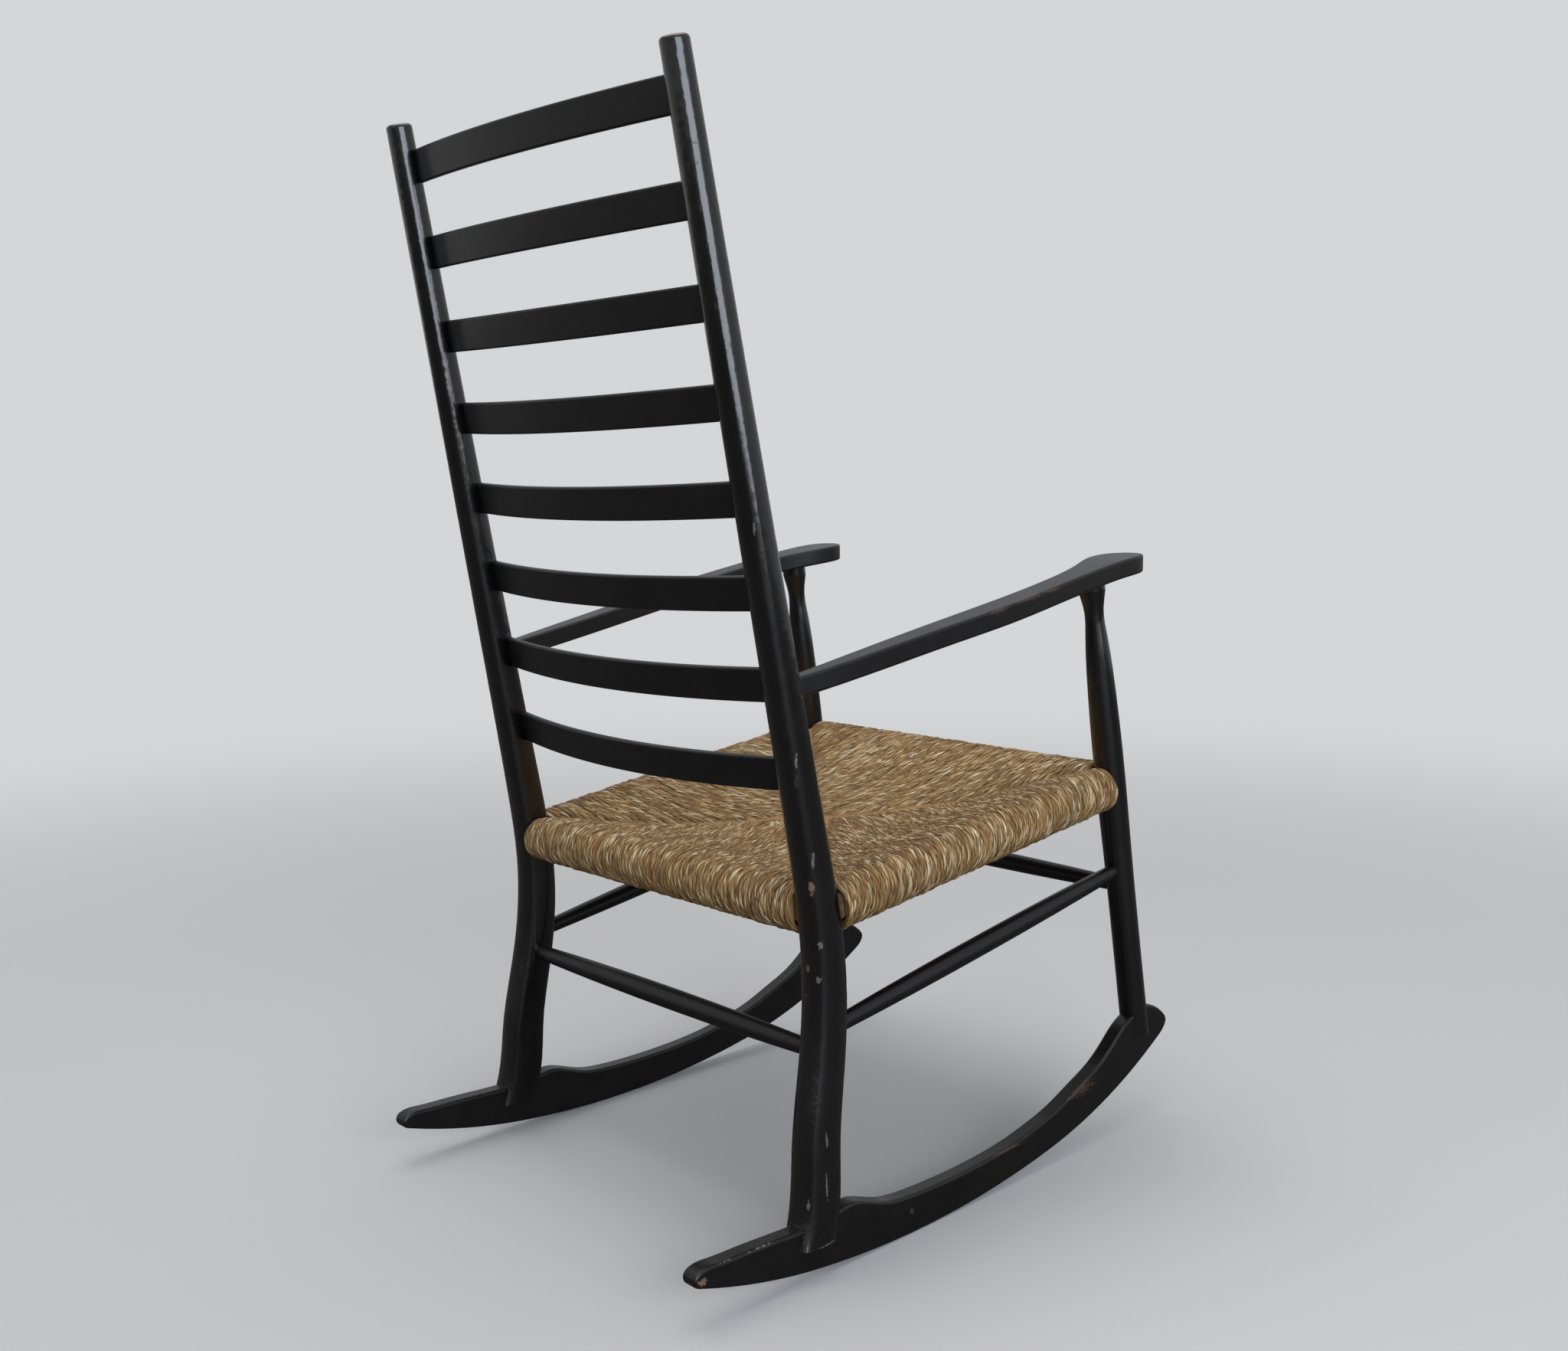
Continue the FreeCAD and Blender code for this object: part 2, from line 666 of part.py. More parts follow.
def make_arm(side, post):
    """The armrest's board, coped to the rear post, before the front leg's mortise is cut."""
    name = side_name(side)
    profile = named("PartDesign::Body", f"arm_profile_{name}")
    sketch = new_sketch(profile, f"arm_side_{name}", "YZ_Plane", arm_side_outline())
    new_pad(profile, f"arm_side_pad_{name}", sketch, "4 * Sizes.runner_half_spacing")
    plan = named("PartDesign::Body", f"arm_plan_{name}")
    sketch = new_sketch(plan, f"arm_top_{name}", "XY_Plane", arm_plan_outline(side))
    new_pad(plan, f"arm_top_pad_{name}", sketch, "4 * Sizes.leg_top_height")
    board = common(f"arm_board_{name}", profile, plan)
    doc.recompute()
    eased = named("Part::Fillet", f"arm_eased_{name}")
    eased.Base = board
    radius = size("arm_easing")
    reach = size("arm_rear_y") - size("arm_front_y")
    numbers = [i for i, edge in enumerate(board.Shape.Edges, 1) if edge.Length > reach]
    eased.Edges = [(number, radius, radius) for number in numbers]
    coped = cut(f"arm_coped_{name}", eased, [post])
    tenon = named("Part::Cylinder", f"arm_tenon_{name}")
    tenon.setExpression("Radius", "Sizes.arm_tenon_diameter / 2")
    rear, level = (Vector(0, point.x, point.y) for point in arm_top_line()[:2])
    direction = (rear - level).normalize()
    middle_x = side * (size("arm_rear_inside") + size("arm_rear_width") / 2)
    down = Vector(0, direction.z, -direction.y) * (size("arm_thickness") / 2)
    height = rear.z + down.z
    face_y = post_axis(side, height).y - post_section(height)[1] / 2
    face = rear + down + direction * ((face_y - rear.y - down.y) / direction.y)
    start = Vector(middle_x, face.y, face.z) - direction * size("arm_tenon_length")
    tenon.setExpression("Height", "2 * Sizes.arm_tenon_length")
    tenon.Placement = Placement(start, aligned(direction))
    return coped, tenon


# Stretchers and seat rails


def make_stretcher(label, start, end, start_depth, end_depth, middle_alias):
    """A turned bar that swells at the middle, from inside one leg to inside another.

    The depths are how far the bar runs from each axis point: the bar starts and ends short of them.
    """
    direction = (end - start).normalize()
    first = start + direction * start_depth
    last = end - direction * end_depth
    length = (last - first).Length
    r_end = size("stretcher_end_diameter") / 2
    r_middle = size(middle_alias) / 2
    tenon = size("stretcher_tenon")
    swell = [
        Vector(r_end, tenon),
        Vector(blend(r_end, r_middle, 0.72), blend(tenon, length / 2, 0.45)),
        Vector(r_middle, length / 2),
        Vector(blend(r_end, r_middle, 0.72), blend(length - tenon, length / 2, 0.45)),
        Vector(r_end, length - tenon),
    ]
    edges = [
        segment(Vector(0, 0), Vector(r_end, 0)),
        segment(Vector(r_end, 0), swell[0]),
        curve_through(swell),
        segment(swell[-1], Vector(r_end, length)),
        segment(Vector(r_end, length), Vector(0, length)),
        segment(Vector(0, length), Vector(0, 0)),
    ]
    body = named("PartDesign::Body", label)
    sketch = new_sketch(body, label + "_outline", "XZ_Plane", edges)
    new_revolution(body, label + "_turn", sketch)
    body.Placement = Placement(first, aligned(direction))
    return body


def make_bar(label, start, end, width, depth, corner):
    """A straight bar with a rounded rectangular section; its depth stays upright."""
    direction = (end - start).normalize()
    across = direction.cross(Vector(0, 0, 1)).normalize()
    upright = across.cross(direction)
    body = named("PartDesign::Body", label)
    edges = section_edges(width, depth, corner)
    sketch = new_sketch(body, label + "_section", "XY_Plane", edges)
    pad = body.newObject("PartDesign::Pad", label + "_pad")
    pad.Profile = sketch
    pad.Length = (end - start).Length
    body.Placement = Placement(start, Rotation(across, upright, direction, "ZXY"))
    return body


def make_rail(label, start, end, start_face, end_face, start_tenon, end_tenon):
    """A seat rail between two faces, with a round tenon at each end.

    The faces are distances from the axis points where the bar's shoulders lie.
    """
    direction = (end - start).normalize()
    clear = size("rush_clearance")
    first = start + direction * start_face
    last = end - direction * end_face
    corner = size("rail_corner")
    bar = make_bar(label + "_bar", first, last, size("rail_width"), size("rail_depth"), corner)
    beyond = direction * (2 * size("seat_roll_radius"))
    room = make_bar(
        label + "_room",
        first - beyond,
        last + beyond,
        size("rail_width") + 2 * clear,
        size("rail_depth") + 2 * clear,
        corner + clear,
    )
    tenon = named("Part::Cylinder", label + "_tenons")
    tenon.setExpression("Radius", "Sizes.rail_tenon_diameter / 2")
    tenon.Height = (last - first).Length + start_tenon + end_tenon
    tenon.Placement = Placement(first - direction * start_tenon, aligned(direction))
    return fuse(label, [bar, tenon]), room


# Rush seat


def seat_corner(side, front):
    """The corner of the seat's plane: where the middles of two rails would cross."""
    if front:
        return leg_axis(side, size("rail_front_height"))
    return post_axis(side, size("rail_rear_height"))


def seat_dip(distance):
    """How far the top of the rush lies below the rolls, at a distance from the nearest rail."""
    return size("seat_sag") * (1 - math.exp(-((distance / size("seat_dip_reach")) ** 1.6)))


def seat_frame():
    """The seat's own frame: x is the chair's X, y runs forward in the seat's plane, z is its normal."""
    rear = seat_corner(1, False)
    front = seat_corner(1, True)
    forward = Vector(0, front.y - rear.y, front.z - rear.z)
    length = forward.Length
    return Vector(0, rear.y, rear.z), forward.normalize(), length


def seat_half_width(share):
    return blend(seat_corner(1, False).x, seat_corner(1, True).x, share)


def panel_profile(start, inward, normal, middle, reach):
    """Section of a rush panel: a roll round the rail, a dipping top and a hanging underside."""
    radius = size("seat_roll_radius")

    def at(distance, height):
        return start + inward * distance + normal * height

    stops = [share * middle for share in (0, 0.113, 0.248, 0.406, 0.5865, 0.7895)] + [reach]
    top = [at(d, radius - seat_dip(d)) for d in stops]
    swell = size("seat_swell")
    below = [at(d, -radius - swell * math.sin(0.5 * math.pi * min(1, d / reach))) for d in stops]
    below.reverse()
    return Part.Face(
        Part.Wire(
            [
                Part.Arc(below[-1], at(-radius, 0), top[0]).toShape(),
                curve_through(top).toShape(),
                segment(top[-1], below[0]).toShape(),
                curve_through(below).toShape(),
            ]
        )
    )


def seat_cell(points, normal):
    """An upright prism over one panel's cell of the mitred plan."""
    half = 4 * size("seat_roll_radius")
    low = [point - normal * half for point in points]
    return Part.Face(Part.makePolygon(low + low[:1])).extrude(normal * (2 * half))


def seat_panels():
    """The four mitred panels. Each mitre halves its corner, so neighbours meet at equal heights."""
    origin, forward, depth = seat_frame()
    across = Vector(1, 0, 0)
    normal = forward.cross(across).normalize()
    if normal.z < 0:
        normal = normal * -1
    rear_half, front_half = seat_half_width(0), seat_half_width(1)
    lean = math.atan2(front_half - rear_half, depth)
    rear_turn = math.tan((math.pi / 2 + lean) / 2)
    front_turn = math.tan((math.pi / 2 - lean) / 2)
    edge_lean = math.tan(lean)

    def at(x, along):
        return origin + across * x + forward * along

    def inset(distance):
        """Corners of the plan moved inwards by a distance, or outwards where it is negative."""
        rear_x = rear_half - distance / rear_turn
        front_x = front_half - distance / front_turn
        return rear_x, distance, front_x, depth - distance

    middle = depth / 2
    ridge = inset(middle)[0]
    out = -2 * size("seat_roll_radius")
    rear_x, rear_along, front_x, front_along = inset(out)
    centre_left, centre_right = at(ridge, middle), at(-ridge, middle)
    rear_left, rear_right = at(rear_x, rear_along), at(-rear_x, rear_along)
    front_left, front_right = at(front_x, front_along), at(-front_x, front_along)
    reach = middle * 1.01
    long_way = 4 * size("seat_roll_radius")
    panels = []
    rear_face = panel_profile(at(-rear_half - long_way, 0), forward, normal, middle, reach)
    rear = rear_face.extrude(across * 2 * (rear_half + long_way))
    panels.append(rear.common(seat_cell([rear_left, rear_right, centre_right, centre_left], normal)))
    start = at(-front_half - long_way, depth)
    front_face = panel_profile(start, forward * -1, normal, middle, reach)
    front = front_face.extrude(across * 2 * (front_half + long_way))
    panels.append(front.common(seat_cell([front_left, front_right, centre_right, centre_left], normal)))
    for side, first, last, centre in (
        (1, rear_left, front_left, centre_left),
        (-1, rear_right, front_right, centre_right),
    ):
        along = (forward + across * (side * edge_lean)).normalize()
        inward = (across * -side + forward * edge_lean).normalize()
        start = at(side * rear_half, 0) - along * long_way
        face = panel_profile(start, inward, normal, middle, reach + ridge)
        strip = face.extrude(along * (depth + 2 * long_way))
        panels.append(strip.common(seat_cell([first, last, centre], normal)))
    return panels


def corner_room(side, front):
    """The outer corner of the seat, which the rush leaves free for a post or leg."""
    clear = size("rush_clearance")
    wires = []
    low = size("rail_rear_height") - 3 * size("seat_roll_radius")
    high = size("rail_front_height") + 3 * size("seat_roll_radius")
    beyond = 3 * size("leg_seat_diameter")
    for share in (0, 0.2, 0.4, 0.6, 0.8, 1):
        height = blend(low, high, share)
        if front:
            axis = leg_axis(side, height)
            half_x = half_y = size("leg_seat_diameter") / 2 + clear
            way = 1
        else:
            axis = post_axis(side, height)
            width, depth, _ = post_section(height)
            half_x, half_y = width / 2 + clear, depth / 2 + clear
            way = -1
        near_x, far_x = axis.x - side * half_x, axis.x + side * beyond
        near_y, far_y = axis.y + way * half_y, axis.y - way * beyond
        points = [
            Vector(near_x, near_y, height),
            Vector(far_x, near_y, height),
            Vector(far_x, far_y, height),
            Vector(near_x, far_y, height),
        ]
        wires.append(Part.makePolygon(points + points[:1]))
    return Part.makeLoft(wires, True, True)


def make_rush_seat(rooms):
    """The rush, wound over the four rails, clear of the wood by the named gap."""
    panels = seat_panels()
    whole = panels[0].fuse(panels[1:])
    for side in (1, -1):
        whole = whole.cut(corner_room(side, False))
        whole = whole.cut(corner_room(side, True))
    blank = named("Part::Feature", "rush_blank")
    blank.Shape = whole.Solids[0]
    return cut("rush_seat", blank, rooms)


# Assembly

posts, legs, boards, runners, arms = {}, {}, {}, {}, {}
arm_tenons, leg_tenons = {}, {}
for side in (1, -1):
    posts[side] = make_post(side)
    boards[side], runners[side] = make_runner(side)
    legs[side], leg_tenons[side] = make_leg(side)
    arms[side], arm_tenons[side] = make_arm(side, posts[side])

slats = [make_slat(index) for index in range(int(size("slat_count")))]

stretcher_tenon = size("stretcher_tenon")
leg_radius = size("leg_foot_diameter") / 2
rear_height = size("rear_stretcher_height")
rear_width, rear_depth, _ = post_section(rear_height)
rear_stretcher = make_stretcher(
    "stretcher_rear",
    post_axis(-1, rear_height),
    post_axis(1, rear_height),
    rear_width / 2 - stretcher_tenon,
    rear_width / 2 - stretcher_tenon,
    "rear_stretcher_diameter",
)
front_height = size("front_stretcher_height")
front_stretcher = make_stretcher(
    "stretcher_front",
    leg_axis(-1, front_height),
    leg_axis(1, front_height),
    leg_radius - stretcher_tenon,
    leg_radius - stretcher_tenon,
    "stretcher_middle_diameter",
)
side_stretchers = {}
side_rails, rooms = {}, []
shoulder = size("rail_shoulder")
tenon = shoulder + size("rail_tenon")
for side in (1, -1):
    start = post_axis(side, rear_height + size("stretcher_rear_stagger"))
    end = leg_axis(side, front_height + size("stretcher_front_stagger"))
    side_stretchers[side] = make_stretcher(
        f"stretcher_{side_name(side)}",
        start,
        end,
        post_section(start.z)[1] / 2 - stretcher_tenon,
        leg_radius - stretcher_tenon,
        "stretcher_middle_diameter",
    )
    start, end = seat_corner(side, False), seat_corner(side, True)
    side_rails[side], room = make_rail(
        f"seat_rail_{side_name(side)}",
        start,
        end,
        post_section(start.z)[1] / 2 + shoulder,
        size("leg_seat_diameter") / 2 + shoulder,
        tenon,
        tenon,
    )
    rooms.append(room)

post_half = post_section(size("rail_rear_height"))[0] / 2
rear_rail, room = make_rail(
    "seat_rail_rear",
    seat_corner(-1, False),
    seat_corner(1, False),
    post_half + shoulder,
    post_half + shoulder,
    tenon,
    tenon,
)
rooms.append(room)
leg_half = size("leg_seat_diameter") / 2
front_rail, room = make_rail(
    "seat_rail_front",
    seat_corner(-1, True),
    seat_corner(1, True),
    leg_half + shoulder,
    leg_half + shoulder,
    tenon,
    tenon,
)
rooms.append(room)
rush_seat = make_rush_seat(rooms)


def make_pin(label, middle, length, diameter_alias):
    """A round pin across the chair."""
    pin = named("Part::Cylinder", label)
    pin.setExpression("Radius", f"Sizes.{diameter_alias} / 2")
    pin.Height = length
    start = middle - Vector(length / 2, 0, 0)
    pin.Placement = Placement(start, aligned(Vector(1, 0, 0)))
    return pin


rear_pins, front_pins = {}, {}
for side in (1, -1):
    height = size("post_foot_height") + size("rear_pin_rise")
    length = post_section(height)[0] - 2 * size("pin_recess")
    rear_pins[side] = make_pin(
        f"rear_pin_{side_name(side)}", post_axis(side, height), length, "rear_pin_diameter"
    )
    height = size("leg_foot_height") + size("front_pin_rise")
    length = size("leg_foot_diameter") - 4 * size("pin_recess")
    front_pins[side] = make_pin(
        f"front_pin_{side_name(side)}", leg_axis(side, height), length, "front_pin_diameter"
    )

parts = []
for side in (1, -1):
    name = side_name(side)
    slotted = cut(f"post_slotted_{name}", posts[side], slats + [boards[side], arm_tenons[side]])
    post_tools = [rear_stretcher, rear_rail, side_stretchers[side], side_rails[side]]
    parts.append(cut(f"rear_post_{name}", slotted, post_tools + [rear_pins[side]]))
    flush = cut(f"leg_under_arm_{name}", legs[side], [arms[side]])
    whole_leg = fuse(f"leg_whole_{name}", [flush, leg_tenons[side]])
    leg_tools = [boards[side], front_stretcher, side_stretchers[side], front_pins[side]]
    leg_tools += [front_rail, side_rails[side]]
    parts.append(cut(f"front_leg_{name}", whole_leg, leg_tools))
    whole_arm = fuse(f"arm_whole_{name}", [arms[side], arm_tenons[side]])
    parts.append(cut(f"armrest_{name}", whole_arm, [leg_tenons[side]]))
    parts.append(cut(f"runner_{name}", runners[side], [rear_pins[side], front_pins[side]]))
    parts.append(side_stretchers[side])
    parts.append(side_rails[side])
parts += slats
parts += [rear_stretcher, front_stretcher, rear_rail, front_rail, rush_seat]
parts.append(fuse("rear_joint_pins", [rear_pins[1], rear_pins[-1]]))
parts.append(fuse("front_joint_pins", [front_pins[1], front_pins[-1]]))
doc.recompute()

faulty = [obj.Label for obj in doc.Objects if "Invalid" in obj.State or "Error" in obj.State]
if faulty:
    raise RuntimeError(f"these objects failed: {faulty}")
for part in parts:
    if part.Shape.isNull() or not part.Shape.isValid():
        raise RuntimeError(f"{part.Label}: bad shape")
for part in parts:
    part.Shape.exportStep(f"parts/{part.Label}.step")
    print(part.Label, len(part.Shape.Solids), round(part.Shape.Volume))
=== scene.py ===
"""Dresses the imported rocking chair: black satin lacquer with its wear, and a seat of twisted rush.

Metres, +Z up, the chair faces -Y and the sitter's left is +X.
"""

import math
from collections import namedtuple
from contextlib import contextmanager

import bmesh
import bpy
import numpy as np
from mathutils import Matrix, Vector


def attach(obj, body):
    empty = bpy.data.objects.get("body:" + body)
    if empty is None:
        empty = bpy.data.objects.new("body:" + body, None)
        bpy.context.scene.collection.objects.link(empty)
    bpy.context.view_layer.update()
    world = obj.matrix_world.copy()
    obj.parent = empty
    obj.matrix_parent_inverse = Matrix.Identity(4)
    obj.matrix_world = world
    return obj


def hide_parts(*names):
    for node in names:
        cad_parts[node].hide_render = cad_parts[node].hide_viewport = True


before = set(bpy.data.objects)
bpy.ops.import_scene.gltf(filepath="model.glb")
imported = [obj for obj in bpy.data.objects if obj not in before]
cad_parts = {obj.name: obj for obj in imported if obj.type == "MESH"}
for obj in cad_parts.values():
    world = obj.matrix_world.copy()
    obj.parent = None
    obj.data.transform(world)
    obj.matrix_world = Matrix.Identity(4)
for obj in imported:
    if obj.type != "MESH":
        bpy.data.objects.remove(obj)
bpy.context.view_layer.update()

bl_info = {
    "name": "Rush-seated rocking chair",
    "version": (1, 0, 0),
    "blender": (4, 5, 0),
    "location": "3D View > Sidebar > Rocking Chair",
    "description": "Dresses a lacquered rocking chair and weaves its rush seat",
    "category": "Add Mesh",
}

BODY = "root"
UPRIGHT = ["rear_post_left", "rear_post_right", "front_leg_left", "front_leg_right"]
ACROSS = [f"back_slat_{number}" for number in range(1, 9)] + ["stretcher_front", "stretcher_rear"]
FORE_AFT = ["armrest_left", "armrest_right", "runner_left", "runner_right"]
FORE_AFT += ["stretcher_left", "stretcher_right"]
RAILS = ["seat_rail_front", "seat_rail_rear", "seat_rail_left", "seat_rail_right"]
PINS = ["rear_joint_pins", "front_joint_pins"]

# The grain is drawn out along one axis, where its coordinates are scaled down
GRAIN_Z = (1.0, 1.0, 0.06)
GRAIN_X = (0.06, 1.0, 1.0)
GRAIN_Y = (1.0, 0.06, 1.0)
RAIL_GRAIN = (0.1, 1.0, 1.0)
END_GRAIN = (1.0, 1.0, 1.0)

# Place, size, raggedness and kind of the marks, in metres
POST_MARKS = [
    ((-0.2218, 0.3278, 1.0775), (0.0085, 0.0085, 0.0022), 0.5, "bare"),
    ((-0.2238, 0.3170, 0.9997), (0.0012, 0.0012, 0.0032), 0.8, "dent"),
    ((-0.2277, 0.3116, 0.9945), (0.0020, 0.0030, 0.0010), 0.8, "dent"),
    ((-0.2276, 0.3095, 0.9793), (0.0010, 0.0010, 0.0012), 0.8, "dent"),
    ((-0.2262, 0.3059, 0.9451), (0.0013, 0.0013, 0.0030), 0.9, "dent"),
    ((-0.2277, 0.2996, 0.9152), (0.0010, 0.0010, 0.0016), 0.9, "dent"),
    ((-0.2285, 0.2929, 0.8803), (0.0010, 0.0012, 0.0014), 0.9, "dent"),
    ((-0.2277, 0.2917, 0.8669), (0.0012, 0.0016, 0.0020), 0.9, "dent"),
    ((-0.2316, 0.2806, 0.8363), (0.0010, 0.0010, 0.0026), 0.9, "dent"),
    ((-0.2322, 0.2575, 0.6845), (0.0010, 0.0010, 0.0060), 0.8, "scuff"),
    ((-0.2375, 0.2163, 0.4621), (0.0016, 0.0016, 0.0060), 0.9, "dent"),
    ((-0.2385, 0.2171, 0.4794), (0.0014, 0.0014, 0.0075), 0.9, "scuff"),
    ((-0.2408, 0.1998, 0.3876), (0.0014, 0.0014, 0.0090), 0.7, "scuff"),
    ((-0.2386, 0.1999, 0.3628), (0.0028, 0.0028, 0.0060), 0.9, "bare"),
    ((-0.2414, 0.1918, 0.3089), (0.0024, 0.0024, 0.0036), 0.9, "scuff"),
    ((-0.2401, 0.1928, 0.2769), (0.0030, 0.0022, 0.0034), 0.9, "scuff"),
    ((-0.2277, 0.1951, 0.2854), (0.0020, 0.0020, 0.0030), 0.9, "scuff"),
    ((-0.2242, 0.1949, 0.2594), (0.0022, 0.0016, 0.0022), 0.9, "rub"),
    ((-0.2529, 0.1974, 0.1307), (0.0012, 0.0014, 0.0070), 0.8, "scuff"),
    ((-0.2550, 0.2000, 0.0886), (0.0010, 0.0010, 0.0200), 0.8, "scuff"),
    ((-0.2494, 0.2179, 0.0744), (0.0016, 0.0016, 0.0046), 0.9, "scuff"),
    ((-0.2565, 0.2010, 0.0352), (0.0030, 0.0200, 0.0012), 0.8, "scuff"),
]
RUNNER_MARKS = [
    ((-0.2488, 0.3440, 0.0480), (0.0020, 0.0050, 0.0030), 0.9, "bare"),
    ((-0.2482, 0.3100, 0.0585), (0.0016, 0.0160, 0.0018), 0.9, "scuff"),
    ((-0.2482, 0.2650, 0.0560), (0.0016, 0.0220, 0.0016), 0.9, "scuff"),
    ((-0.2490, 0.0792, 0.0236), (0.0020, 0.0026, 0.0030), 0.7, "rub"),
    ((-0.2482, -0.0600, 0.0408), (0.0014, 0.0400, 0.0016), 0.9, "rub"),
    ((-0.2482, -0.1850, 0.0718), (0.0014, 0.0300, 0.0090), 0.9, "rub"),
]
ARM_MARKS = [
    ((-0.2580, -0.0330, 0.5978), (0.0012, 0.0260, 0.0040), 1.0, "rub"),
    ((-0.2586, -0.0800, 0.6066), (0.0014, 0.0220, 0.0040), 0.9, "rub"),
    ((-0.2590, -0.1150, 0.6130), (0.0014, 0.0180, 0.0030), 0.9, "rub"),
]

# How the strands' ends sink at a mitre: depth, length of the slope and how far they reach past it.
# Rings round the rail count as far from any end.
SEAM_DEPTH = 0.0088
SEAM_WIDTH = 0.0066
TUCK = 0.0016
FAR_FROM_END = 9.0

# Rings of a strand on top, round the rail and below, and points round a ring
TOP_RINGS, TURN_RINGS, BELOW_RINGS, SIDES = 48, 27, 28, 8

# Unevenness of the strands, as shares of their radius or of their spacing
RADIUS_SPREAD, HEIGHT_SPREAD, DRIFT, SWAY = 0.10, 0.22, 0.10, 0.12
LONG_WAVE, SHORT_WAVE, PLY = 0.07, 0.05, 0.085
SEAM_THINNING, END_SIZE = 0.42, 0.35

# Lengths of those waves over 2 pi, in metres
SWAY_LENGTH, LONG_WAVE_LENGTH, SHORT_WAVE_LENGTH = 0.017, 0.011, 0.0043

# How far the stuffing lies below the seat's outer form
STUFFING_DEPTH = 0.0042

# The floor: radii of its rings and where it fades into the backdrop
FLOOR_RINGS = (1.0, 2.0, 3.0, 4.5, 6.5, 9.0, 14.0)
FLOOR_SIDES = 96
FADE_FROM, FADE_TO = 0.9, 3.4

# The world's light, and each lamp's name, place, target, width, height, power and colour
WORLD_TINT, WORLD_STRENGTH = (0.96, 0.97, 1.0, 1), 0.50
LAMPS = (
    ("window", (-3.1, 0.95, 1.2), (0.0, 0.1, 0.75), 2.6, 1.6, 62.0, (0.82, 0.90, 1.0)),
    ("ceiling", (0.3, 0.2, 3.1), (0.0, 0.0, 0.4), 2.4, 2.4, 28.0, (1.0, 0.98, 0.95)),
)
SENSOR_WIDTH = 36.0

Panel = namedtuple("Panel", "start along inward run reach")


# Settings


def length(name, description, default):
    """A setting in metres."""
    return bpy.props.FloatProperty(
        name=name, description=description, default=default, unit="LENGTH", precision=4
    )


def colour(name, description, default):
    """A setting for a colour."""
    return bpy.props.FloatVectorProperty(
        name=name, description=description, default=default, subtype="COLOR", size=3, min=0, max=1
    )


class LacquerSettings(bpy.types.PropertyGroup):
    """Colours of the lacquered wood"""

    black: colour("Lacquer", "Colour of the lacquer", (0.0024, 0.0023, 0.0026))
    worn: colour("Rubbed", "Lacquer rubbed thin along the edges", (0.050, 0.028, 0.018))
    wood: colour("Bare wood", "Wood that shows where the lacquer is chipped", (0.21, 0.12, 0.07))
    dust: colour("Scuff", "Pale scuffs and scratches", (0.125, 0.115, 0.105))
    beech: colour("Rail", "Bare wood of the rails inside the rush", (0.50, 0.34, 0.19))
    pin: colour("Pin", "End grain of the joint pins", (0.030, 0.021, 0.016))


class RushSettings(bpy.types.PropertyGroup):
    """Sizes and colours of the rush seat"""

    rear_y: length("Rear rail", "Place of the rear rail's middle", 0.17997)
    rear_z: length("Rear rail height", "Height of the rear rail's middle", 0.3350)
    front_y: length("Front rail", "Place of the front rail's middle", -0.25969)
    front_z: length("Front rail height", "Height of the front rail's middle", 0.3920)
    rear_half: length("Rear half width", "Middle plane to the rear corner", 0.22715)
    front_half: length("Front half width", "Middle plane to the front corner", 0.23325)
    roll: length("Roll", "Outer radius of the rush round a rail", 0.0242)
    sag: length("Sag", "Dip of the rush at the middle of the seat", 0.029)
    reach: length("Dip reach", "Distance from a rail at which the dip is nearly full", 0.082)
    swell: length("Swell", "How far the underside hangs below the rolls", 0.004)
    spacing: length("Spacing", "From one strand to the next", 0.0056)
    strand: length("Strand", "Radius of a strand", 0.00280)
    pitch: length("Twist", "Length of one turn of a strand's twist", 0.045)
    rear_gap: length("Rear gap", "Rear corner to the first strand, across", 0.0180)
    rear_side_gap: length("Rear side gap", "Rear corner to the first strand, front to back", 0.0198)
    front_gap: length("Front gap", "Front corner to the first strand", 0.0195)
    dark: colour("Gaps", "Shadowed gaps between blades", (0.075, 0.038, 0.014))
    brown: colour("Brown", "Older, browner blades", (0.270, 0.148, 0.056))
    tan: colour("Tan", "Most of the blades", (0.500, 0.286, 0.106))
    straw: colour("Straw", "Pale blades", (0.80, 0.570, 0.285))
    bleached: colour("Bleached", "The palest blades", (0.95, 0.80, 0.54))


class StageSettings(bpy.types.PropertyGroup):
    """The floor, the light and the camera"""

    floor: colour("Floor", "Colour of the floor", (0.68, 0.68, 0.685))
    dim: colour("Floor seen in gloss", "Colour of the floor in reflections", (0.105, 0.092, 0.083))
    wall: colour("Backdrop", "Colour behind the chair", (0.665, 0.67, 0.685))
    focal: bpy.props.FloatProperty(name="Lens", description="Focal length, mm", default=36.91)
    eye: bpy.props.FloatVectorProperty(
        name="Eye", description="Place of the camera", size=3, unit="LENGTH",
        default=(-1.2448, 1.1751, 0.7275),
    )
    yaw: bpy.props.FloatProperty(
        name="Yaw", description="Turn of the view from -Y towards +X", subtype="ANGLE",
        default=math.radians(46.815),
    )
    pitch: bpy.props.FloatProperty(
        name="Pitch", description="How far the view looks down", subtype="ANGLE",
        default=math.radians(7.039),
    )
    roll: bpy.props.FloatProperty(
        name="Roll", description="Turn of the picture", subtype="ANGLE",
        default=math.radians(-0.642),
    )


# Node helpers


